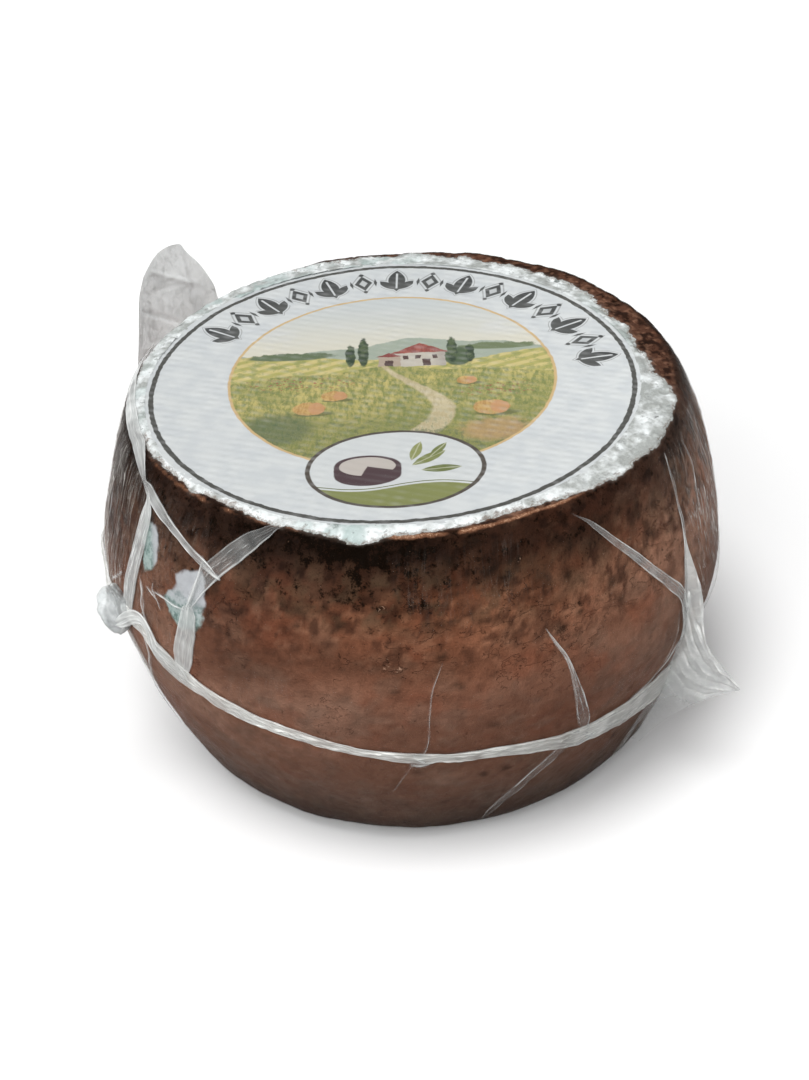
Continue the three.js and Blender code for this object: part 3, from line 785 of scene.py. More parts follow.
def label_material():
    m = Material("label_paper")
    p = m.place()
    px, py, _ = m.split(p)
    X, Y = px - LABEL_X, py - LABEL_Y
    flat = m.join(X, Y, 0.0)
    soft = m.noise(flat, 0.16, 3, 0.5)
    wob = (m.noise(flat, 0.35, 2, 0.5) - 0.5)
    fibre = m.noise(flat, 1.9, 2, 0.6)

    # embossed waffle, worn away here and there
    d1 = (X * 0.34 + Y * 0.94) * 2.05
    d2 = (X * 0.94 - Y * 0.34) * 1.25
    held = m.ramp(m.noise(flat, 0.05, 0, 0.5), 0.36, 0.60)
    emboss = (d1.sin() * 0.5 + 0.5) * (0.30 + held * 0.35 + held * (d2.sin() * 0.40)) + (soft - 0.5) * 0.6

    paper = m.mix(m.ramp(soft, 0.35, 0.65), lin(226, 231, 233), lin(236, 240, 240))
    col = paper
    ink = 1.0 - m.ramp(fibre, 0.62, 0.85) * 0.35          # print that hasn't quite taken

    R = (X * X + Y * Y) ** 0.5
    Rw = R + wob * 0.9
    grey_ink = lin(86, 86, 82)

    # outer ring
    ring = m.ramp(abs(Rw - 72.75), 0.90, 0.62)
    col = m.mix(ring * ink, col, grey_ink)

    # ---- the medallion: a farm in open hills -------------------------------
    daub = m.noise(flat, 0.30, 3, 0.65)
    xm, ym = X + wob * 1.3, (Y - 3.0) + (daub - 0.5) * 1.6
    rm = (X * X + (Y - 3.0) * (Y - 3.0)) ** 0.5 + wob * 0.6
    inside = m.ramp(rm, 49.3, 48.9)
    grass = m.noise(m.join(X * 1.3, Y * 0.45, 7.0), 0.60, 3, 0.7)
    brush = grass

    art = m.mix(m.ramp(ym, 48, 14), lin(222, 228, 228), lin(240, 236, 218))
    cloud = m.ramp(m.noise(m.join(X * 0.5, Y * 1.3, 1.0), 0.085, 2, 0.6), 0.50, 0.66) * m.ramp(ym, 18, 30)
    art = m.mix(cloud * 0.7, art, lin(234, 236, 234))

    def hill(y0, a1, f1, p1, a2, f2, p2):
        top = y0 + (xm * f1 + p1).sin() * a1 + (xm * f2 + p2).sin() * a2
        return m.ramp(ym - top, 0.35, -0.35), top

    far, _ = hill(19.0, 3.4, 0.070, 0.9, 1.0, 0.21, 0.3)
    art = m.mix(far, art, m.mix(daub, lin(170, 184, 172), lin(192, 200, 180)))
    mid, top2 = hill(12.5, 3.6, 0.058, 3.9, 0.8, 0.17, 1.1)
    furrow = ((X * 0.55 - ym * 1.35) * 1.15).sin()
    field = m.mix(m.ramp(furrow, -0.5, 0.6), lin(228, 212, 144), lin(196, 190, 112))
    field = m.mix(m.ramp(daub, 0.48, 0.62) * 0.7, field, lin(158, 166, 100))
    art = m.mix(mid, art, field)

    def blob(cx, cy, ax, ay, soft_edge=0.10, rag=0.35):
        """A ragged ellipse."""
        dx, dy = (xm - cx) / ax, (ym - cy) / ay
        d = (dx * dx + dy * dy) ** 0.5 + (daub - 0.5) * rag
        return m.ramp(d, 1.0 + soft_edge, 1.0 - soft_edge)

    def bar(cx, cy, hx, hy, e=0.18):
        return m.ramp(abs(xm - cx) - hx, e, -e) * m.ramp(abs(ym - cy) - hy, e, -e)

    # hedge lines and a far wood
    art = m.mix(blob(-31, 15.0, 13, 2.2, 0.15, 0.9), art, lin(112, 128, 96))
    art = m.mix(blob(33, 16.5, 12, 2.0, 0.15, 0.9), art, lin(126, 140, 104))

    near, top3 = hill(3.5, 2.6, 0.062, 1.7, 0.9, 0.19, 2.0)
    meadow = m.mix(m.ramp(grass, 0.34, 0.66), lin(148, 154, 88), lin(222, 206, 130))
    meadow = m.mix(m.ramp(m.noise(m.join(X * 0.6, Y * 1.4, 3.0), 0.10, 2, 0.5), 0.42, 0.62) * 0.40, meadow, lin(132, 146, 88))
    meadow = m.mix(m.ramp(ym, 2, -40) * 0.45, meadow, lin(128, 136, 78))
    meadow = m.mix(m.ramp(daub, 0.54, 0.70) * 0.60, meadow, lin(108, 126, 78))

    # the house, its barn and its trees stand on the middle hill
    art = m.mix(blob(20.5, 11.0, 4.6, 5.4), art, lin(92, 110, 80))
    art = m.mix(bar(9.0, 10.6, 7.6, 4.4), art, m.mix(brush, lin(206, 198, 184), lin(226, 220, 206)))
    art = m.mix(bar(-0.6, 9.6, 3.4, 3.2), art, lin(196, 178, 160))
    roof = m.ramp(ym - 14.2, -0.15, 0.15) * m.ramp((ym - 14.2) * 1.55 + abs(xm - 9.0) - 9.2, 0.2, -0.2)
    art = m.mix(roof, art, m.mix(m.ramp(brush, 0.4, 0.6), lin(158, 84, 76), lin(184, 108, 96)))
    shed = m.ramp(ym - 12.4, -0.15, 0.15) * m.ramp((ym - 12.4) * 1.9 + abs(xm + 0.6) - 4.4, 0.2, -0.2)
    art = m.mix(shed, art, lin(150, 78, 74))
    for wx, wy, hw, hh in ((4.4, 11.6, 0.8, 1.1), (8.2, 11.6, 0.8, 1.1), (13.4, 11.6, 0.8, 1.1),
                           (10.8, 8.4, 1.1, 2.0), (-0.8, 8.4, 1.3, 1.9)):
        art = m.mix(bar(wx, wy, hw, hh, 0.12), art, lin(96, 74, 70))
    art = m.mix(m.ramp(xm, 12.0, 16.0) * bar(9.0, 10.6, 7.6, 4.4) * 0.4, art, lin(150, 140, 136))
    for cx, cy, ax, ay in ((-8.6, 15.6, 1.7, 8.2), (-12.6, 14.0, 1.5, 6.6), (18.8, 15.2, 1.6, 7.4), (24.2, 13.0, 1.4, 5.6)):
        art = m.mix(blob(cx, cy, ax, ay, 0.12, 0.5), art, m.mix(m.ramp(daub, 0.42, 0.6), lin(58, 76, 56), lin(96, 112, 78)))

    art = m.mix(near, art, meadow)
    # poppies in drifts, straw bales, a pale track and a darker foreground
    poppy = m.ramp(m.voronoi(m.join(X * 1.0, Y * 2.2, 0.0), 0.62), 0.30, 0.20)
    drift = blob(-27, -1.5, 17, 4.2, 0.3, 0.8).max(blob(31, -9.0, 12, 4.0, 0.3, 0.8))
    art = m.mix(drift * poppy * near * 0.95, art, lin(176, 84, 80))
    track = xm - 6.0 + (ym * 0.105 + 0.4).sin() * 9.0
    width = m.line(ym, 4, -48, 0.9, 6.6)
    art = m.mix(m.ramp(abs(track) - width, 0.6, -0.6) * near * 0.85, art,
                m.mix(m.ramp(grass, 0.4, 0.6), lin(214, 196, 158), lin(230, 216, 182)))
    for bx, by, bs in ((-17.5, -9.0, 1.0), (-25.0, -15.5, 1.25), (22.5, -3.2, 0.8), (29.0, -19.0, 1.4)):
        art = m.mix(blob(bx + 0.9 * bs, by - 2.4 * bs, 4.6 * bs, 1.1 * bs, 0.2, 0.2) * 0.7, art, lin(104, 108, 70))
        art = m.mix(blob(bx, by, 3.9 * bs, 2.9 * bs, 0.06, 0.12), art, m.mix(m.ramp(brush, 0.35, 0.65), lin(196, 152, 92), lin(228, 190, 124)))
        art = m.mix(blob(bx + 1.7 * bs, by, 1.9 * bs, 2.6 * bs, 0.08, 0.1) * 0.8, art, lin(220, 166, 122))
    tuft = m.ramp(grass + (daub - 0.5) * 0.4, 0.50, 0.60)
    art = m.mix(tuft * m.ramp(ym, -14, -34) * 0.7, art, lin(106, 122, 84))
    art = m.mix(blob(-34, -26, 10, 8, 0.3, 0.8) * 0.6, art, lin(92, 112, 88))
    art = m.mix(blob(30, -31, 10, 6, 0.3, 0.9) * 0.5, art, lin(222, 170, 132))
    art = m.mix(m.ramp(fibre, 0.55, 0.8) * 0.16, art, lin(240, 240, 232))
    col = m.mix(inside, col, art)
    col = m.mix(m.ramp(abs(rm - 49.4), 0.62, 0.30) * 0.85, col, lin(228, 190, 122))

    # ---- the arc of leaves over it ----------------------------------------
    ang = m.math("ARCTAN2", Y, X)
    deg = ang * (180 / math.pi)
    arc = m.ramp(deg, 3.4, 3.6) * m.ramp(deg, 151.8, 151.6)
    v = R - 63.0
    step = 10.86
    t = (ang - 0.0619) * 63.0 / step
    cell = m.math("FLOOR", t)
    u = (t - cell - 0.5) * step
    odd = m.math("ROUND", m.math("FRACT", cell * 0.5) * 2.0)

    def leaf(u0, v0, lean, half, wide):
        """Distance to a leaf of that half length and width, in mm, negative inside."""
        c, s_ = math.cos(lean), math.sin(lean)
        a = (u - u0) * c + (v - v0) * s_
        b = (v - v0) * c - (u - u0) * s_
        return abs(a) - (1.0 - (b / half) * (b / half)) * wide, a, b

    da, aa, ab = leaf(0.0, 0.4, 0.0, 6.8, 2.75)
    db, _, _ = leaf(-3.1, -2.3, 0.75, 4.1, 1.55)
    dc, _, _ = leaf(3.1, -2.3, -0.75, 4.1, 1.55)
    big = m.ramp(da.min(db).min(dc), 0.15, -0.15)
    vein_a = m.ramp(abs(aa), 0.42, 0.22) * m.ramp(abs(ab), 5.2, 4.6)
    dd = abs(u) / 2.9 + abs(v - 0.2) / 4.8 - 1.0
    de = (u * u + (v - 5.6) * (v - 5.6)) ** 0.5 - 0.75
    df = (u * u + (v + 5.4) * (v + 5.4)) ** 0.5 - 0.75
    dg = abs(abs(u) - 3.9) * 1.0 + abs(v) * 0.22 - 0.55
    small = m.ramp((dd * 2.0).min(de).min(df).min(dg), 0.15, -0.15)
    core = m.ramp(dd, -0.45, -0.60)
    motif = m.mixf(odd, big * (1.0 - vein_a), small * (1.0 - core * 0.8))
    halo = m.mixf(odd, m.ramp(abs(da.min(db).min(dc) - 0.72), 0.26, 0.10), m.ramp(abs(dd * 2.0 - 0.72), 0.26, 0.10))
    col = m.mix(halo * arc * 0.55, col, lin(136, 138, 136))
    col = m.mix(motif * arc * ink, col, m.mix(m.ramp(v, -6, 6), lin(96, 98, 96), lin(72, 74, 74)))

    # ---- the plain seal at the bottom --------------------------------------
    ex, ey = X / 25.5, (Y + 46.5) / 19.5
    e = (ex * ex + ey * ey) ** 0.5 + wob * 0.012
    sx, sy = X + wob * 0.4, Y + 46.5
    seal = m.mix(0.5, paper, lin(232, 236, 235))
    band = m.ramp(sy + 9.4 - (sx * 0.16).sin() * 1.4, 0.25, -0.25)
    seal = m.mix(band * ink, seal, lin(146, 152, 94))
    seal = m.mix(m.ramp(abs(sy + 8.4 - (sx * 0.16).sin() * 1.4), 0.28, 0.12), seal, lin(112, 120, 72))
    # a small drum with a notch in it
    wx, wy = (sx + 8.0) / 9.6, (sy - 1.6) / 5.6
    oval = (wx * wx + wy * wy) ** 0.5
    lx, ly = (sx + 8.0) / 9.6, (sy + 2.6) / 5.6
    lower = (lx * lx + ly * ly) ** 0.5
    drum = m.ramp(oval.min(lower.max(abs(sx + 8.0) / 9.6)), 1.03, 0.97)
    drum = drum.max(m.ramp(abs(sx + 8.0) - 9.6, 0.2, -0.2) * m.ramp(abs(sy + 0.5) - 2.1, 0.2, -0.2))
    cheese_ink = lin(88, 68, 72)
    seal = m.mix(drum * ink, seal, cheese_ink)
    face = m.ramp(oval, 0.86, 0.82)
    seal = m.mix(face, seal, lin(214, 206, 198))
    cut = m.ramp(sy - 1.6 + (sx + 8.0) * 0.32, 0.2, -0.2) * m.ramp(sx + 8.0 - (sy - 1.6) * 0.4, -0.2, 0.2) * m.ramp(oval, 1.0, 0.96)
    seal = m.mix(cut, seal, cheese_ink)

    def sleaf(cx, cy, lean, half, wide):
        c, s_ = math.cos(lean), math.sin(lean)
        a = (sx - cx) * c + (sy - cy) * s_
        b = (sy - cy) * c - (sx - cx) * s_
        return m.ramp(abs(a) - (1.0 - (b / half) * (b / half)) * wide, 0.15, -0.15), m.ramp(abs(a), 0.30, 0.12)

    for cx, cy, lean, half, wide, tint in ((9.6, 4.6, -0.95, 6.0, 1.9, lin(140, 148, 88)), (13.0, -1.2, -1.5, 5.8, 1.8, lin(122, 132, 78)),
                                           (6.0, 8.4, -0.30, 5.0, 1.6, lin(158, 164, 104)), (12.4, 8.6, -0.62, 4.4, 1.3, lin(128, 138, 82))):
        body, rib = sleaf(cx, cy, lean, half, wide)
        seal = m.mix(body * ink, seal, tint)
        seal = m.mix(body * rib * 0.7, seal, lin(214, 216, 186))
    col = m.mix(m.ramp(e, 1.0, 0.985), col, seal)
    col = m.mix(m.ramp(abs(e - 0.985), 0.034, 0.020) * ink, col, lin(92, 84, 76))

    height = emboss * 1.0 + fibre * 0.10 + soft * 0.6
    bump = m.bump(height, 0.30, 0.00035)
    # the raised ribs of the emboss painted lighter: a painted highlight
    col = m.mix(emboss.max(0.0) * 0.16 - 0.02, col, lin(244, 247, 248))
    # the paper is scaled down overall and painted lighter towards its right than its left: painted light falling across
    # the label
    tone = m.node("ShaderNodeVectorMath", operation="SCALE")
    m.put(tone.inputs[0], col)
    m.put(tone.inputs["Scale"], m.line(X, 5.0, 75.0, 0.67, 0.735))
    return m.finish(Base_Color=V(m, tone.outputs[0]), Roughness=0.46, Specular_IOR_Level=0.3,
                    Coat_Weight=0.18, Coat_Roughness=0.25,
                    Normal=bump, Coat_Normal=bump)


# --------------------------------------------------------------------------
# The film: routes over the wheel are [azimuth, height, width in mm]
# --------------------------------------------------------------------------
def spline(points, step):
    """Catmull-Rom through rows of numbers; the first two are degrees and mm."""
    a = np.asarray(points, float)
    hop = np.hypot(np.diff(a[:, 0]) * 1.6, np.diff(a[:, 1]))
    t = np.concatenate([[0], np.cumsum(np.maximum(hop, 0.05))])
    n = max(3, int(t[-1] / step) + 1)
    u = np.linspace(0, t[-1], n)
    k = np.clip(np.searchsorted(t, u, "right") - 1, 0, len(a) - 2)
    m = np.gradient(a, t, axis=0)
    h = (t[k + 1] - t[k])[:, None]
    x = ((u - t[k])[:, None]) / h
    return ((2 * x ** 3 - 3 * x ** 2 + 1) * a[k] + (x ** 3 - 2 * x ** 2 + x) * h * m[k]
            + (-2 * x ** 3 + 3 * x ** 2) * a[k + 1] + (x ** 3 - x ** 2) * h * m[k + 1])


def distance(p, line):
    """Distance from 2-D points to a polyline, and how far along it, 0 to 1."""
    line = np.asarray(line, float)
    best, where = np.full(len(p), 1e9), np.zeros(len(p))
    for k in range(len(line) - 1):
        d = line[k + 1] - line[k]
        t = np.clip(((p - line[k]) @ d) / (d @ d), 0, 1)
        q = np.hypot(*(p - line[k] - t[:, None] * d).T)
        near = q < best
        best = np.where(near, q, best)
        where = np.where(near, (k + t) / (len(line) - 1), where)
    return best, where


class Sheets:
    """Several grids of film gathered into one mesh."""

    def __init__(self):
        self.pts, self.faces, self.uv, self.attrs, self.n = [], [], [], [], 0

    def add(self, pts, uv, cover, white, close=False):
        m, n = pts.shape[:2]
        i, j = np.meshgrid(np.arange(m if close else m - 1), np.arange(n - 1), indexing="ij")
        k = (i + 1) % m
        f = np.stack([i * n + j, k * n + j, k * n + j + 1, i * n + j + 1], -1).reshape(-1, 4)
        self.faces.append(f + self.n)
        self.pts.append(pts.reshape(-1, 3))
        self.uv.append(uv.reshape(-1, 2))
        self.attrs.append(np.stack([cover.ravel(), white.ravel()], 1))
        self.n += m * n

    def build(self, name):
        a = np.concatenate(self.attrs)
        return mesh(name, np.concatenate(self.pts), np.concatenate(self.faces),
                    uv=np.concatenate(self.uv), attrs={"cover": a[:, 0], "white": a[:, 1]})


# A line drawn along a strip: where it runs across (-1 to 1) from start to end,
# its half width in mm, how solid it is, how high it stands, how far it wanders.
EDGES = ((-0.90, -0.90, 0.30, 0.75, 0.35, 0.05), (0.90, 0.90, 0.32, 0.85, 0.40, 0.05))


def strip(sheets, route, lines=EDGES, cover=0.22, lift=0.35, across=21, step=0.55,
          seed=1, taper=(0.12, 0.12), white=0.5, closed=False, fade=(0.0, 0.0), puff=0.25):
    a = spline(route, step)
    if closed:
        a = a[:-1]
    n = len(a)
    t = np.linspace(0, 1, n)
    phi, s, w = a[:, 0], s_of_z(np.clip(a[:, 1], 0.5, HEIGHT - 0.02)), np.maximum(a[:, 2], 0.15)
    if a.shape[1] > 3:
        lift = a[:, 3]
    centre = surf(phi, s, lift)
    if closed:
        along = np.roll(centre, -1, 0) - np.roll(centre, 1, 0)
    else:
        along = np.gradient(centre, axis=0)
    nrm = normal(phi, s)
    side = np.cross(nrm, along)
    side /= np.linalg.norm(side, axis=1)[:, None]
    run = np.concatenate([[0], np.cumsum(np.linalg.norm(np.diff(centre, axis=0), axis=1))])
    half = w / 2
    ends = np.ones(n)
    if not closed:
        ends = smooth(t, -0.02, taper[0]) * smooth(1 - t, -0.02, taper[1])
        half = half * (0.25 + 0.75 * ends)
    v = np.linspace(-1, 1, across)
    key = np.stack([np.cos(np.radians(phi)) * 90, np.sin(np.radians(phi)) * 90, a[:, 1]], 1)
    wave = 1 + 0.10 * fbm(key / 7.0, 2, seed + 3)
    q = centre[:, None] + side[:, None] * (v[:, None] * (half * wave)[:, None, None])
    f, ss = find(q)
    cov = np.full(f.shape, 1.0) * cover * (1 + 0.35 * fbm(key / 5.0, 2, seed + 5))[:, None]
    cov = cov * smooth(1 - np.abs(v), -0.02, 0.10)[None]
    rise = puff * (1 - v[None] ** 2) * (1 + 0.5 * fbm(key / 6.0, 2, seed + 7))[:, None]
    tone = np.full(f.shape, white)
    for k, (v0, v1, wide, solid, high, wander) in enumerate(lines):
        c = v0 + (v1 - v0) * t + wander * fbm(key / 9.0, 2, seed + 11 + k)
        strength = 0.72 + 0.45 * fbm(key / 4.5, 2, seed + 31 + k)
        thick = wide * (0.85 + 0.35 * fbm(key / 5.5, 2, seed + 51 + k))
        d = np.abs(v[None] - c[:, None]) * half[:, None]
        g = np.exp(-(d / thick[:, None]) ** 2)
        cov = np.maximum(cov, solid * np.clip(strength, 0.25, 1.1)[:, None] * g)
        rise = rise + high * g * np.clip(strength, 0.3, 1.0)[:, None]
        # the film is painted whiter along each line: more layers of film, and a painted highlight
        tone = np.maximum(tone, g)
    gone = 1 - fade[0] * smooth(t, 0.35, 0.0) - fade[1] * smooth(t, 0.65, 1.0)
    cov = cov * ends[:, None] ** 0.5 * np.clip(gone, 0, 1)[:, None]
    pts = surf(f, ss, RELIEF.at(f, ss) + np.reshape(lift, (-1, 1)) + rise)
    uv = np.stack(np.broadcast_arrays(run[:, None], v[None] * half[:, None]), -1)
    sheets.add(pts, uv, cov, tone, closed)


def strand(sheets, route, width=0.9, solid=0.85, high=0.45, seed=1, lift=0.35, taper=(0.2, 0.2)):
    """A thin fold of film."""
    pts = [list(p[:2]) + [width * 2.4 * (p[2] if len(p) > 2 else 1.0)] for p in route]
    strip(sheets, pts, lines=((0, 0, width * 0.5, solid, high, 0.08),), cover=0.03,
          across=9, seed=seed, lift=lift, taper=taper, white=0.6, puff=0.0)


class Relief:
    """The rind's relief on a grid, smoothed as the film bridges it."""

    def __init__(self, phi, s, h):
        self.s = s
        self.n = len(phi)
        up = h.copy()
        for _ in range(4):
            mean = (np.roll(up, 1, 0) + np.roll(up, -1, 0) + np.roll(up, 2, 0) + np.roll(up, -2, 0)) / 4
            mean = 0.5 * mean + 0.25 * (np.concatenate([up[:, :1], up[:, :-1]], 1)
                                        + np.concatenate([up[:, 1:], up[:, -1:]], 1))
            up = np.maximum(h * 0.75 + mean * 0.25, mean)
        self.h = up

    def at(self, phi, s):
        x = (np.asarray(phi) + 180.0) / 360.0 * self.n
        i = np.floor(x).astype(int)
        fx = x - i
        y = np.interp(s, self.s, np.arange(len(self.s)))
        j = np.clip(np.floor(y).astype(int), 0, len(self.s) - 2)
        fy = y - j
        a, b = i % self.n, (i + 1) % self.n
        return ((self.h[a, j] * (1 - fx) + self.h[b, j] * fx) * (1 - fy)
                + (self.h[a, j + 1] * (1 - fx) + self.h[b, j + 1] * fx) * fy)


SEAM = ((-180, 64.5, 6.5), (-168, 65.4, 6.5), (-157, 66.4, 5.6), (-150, 67.8, 4.8), (-145.5, 67.0, 4.8), (-142, 64.4, 6.0), (-138, 61.6, 7.4),
        (-132, 59.6, 6.6), (-115, 54, 4.9), (-97, 48.6, 3.9), (-91, 46.6, 4.9), (-85, 45.9, 4.4), (-76, 44.8, 5.3),
        (-68, 42.6, 6.8), (-60, 39.8, 8.8), (-52, 38.2, 11.0), (-44, 37.0, 13.5), (-37, 37.0, 15.5), (-30, 38.0, 14),
        (-20, 39.6, 8.5), (-8, 41.0, 6), (10, 43, 5.2), (30, 46.6, 6), (45, 49, 8), (62, 52, 6), (90, 56, 5.2),
        (115, 59, 6), (128, 61, 8), (138, 62, 8), (150, 63.4, 7.5), (165, 64, 6), (180, 64.5, 6.5))


def make_seam():
    """The gathered seam that runs right round."""
    sh = Sheets()
    strip(sh, SEAM, cover=0.60, across=33, closed=True, seed=101, lift=0.55, white=0.66, puff=0.5, lines=(
        (-0.86, -0.86, 0.44, 0.88, 0.50, 0.12),
        (0.88, 0.88, 0.34, 0.88, 0.55, 0.08),
        (-0.45, -0.45, 0.30, 0.78, 0.34, 0.45),
        (0.05, 0.05, 0.32, 0.80, 0.38, 0.65),
        (0.50, 0.50, 0.22, 0.66, 0.30, 0.40),
        (0.20, 0.20, 0.22, 0.70, 0.28, 0.85)))
    # loose strands that leave the seam and come back to it
    for k, (a0, a1, dz) in enumerate(((-178, -150, 1.8), (-128, -98, -1.4), (-104, -70, 1.2), (-80, -48, -2.2), (-66, -36, 2.6),
                                      (-58, -30, -3.4), (-20, 16, 1.3), (26, 60, 2.2), (58, 96, -1.2), (96, 132, 1.8), (126, 158, -2.6))):
        base = np.array(SEAM)
        pts = []
        for f in np.linspace(0, 1, 9):
            a = a0 + (a1 - a0) * f
            z = np.interp(a, base[:, 0], base[:, 1]) + dz * math.sin(math.pi * f) + 0.5 * math.sin(9 * f + k)
            pts.append((a, z))
        strand(sh, pts, 0.75 + 0.25 * (k % 3), 0.8, 0.5, 140 + k, 0.7)
    return sh.build("film_seam")


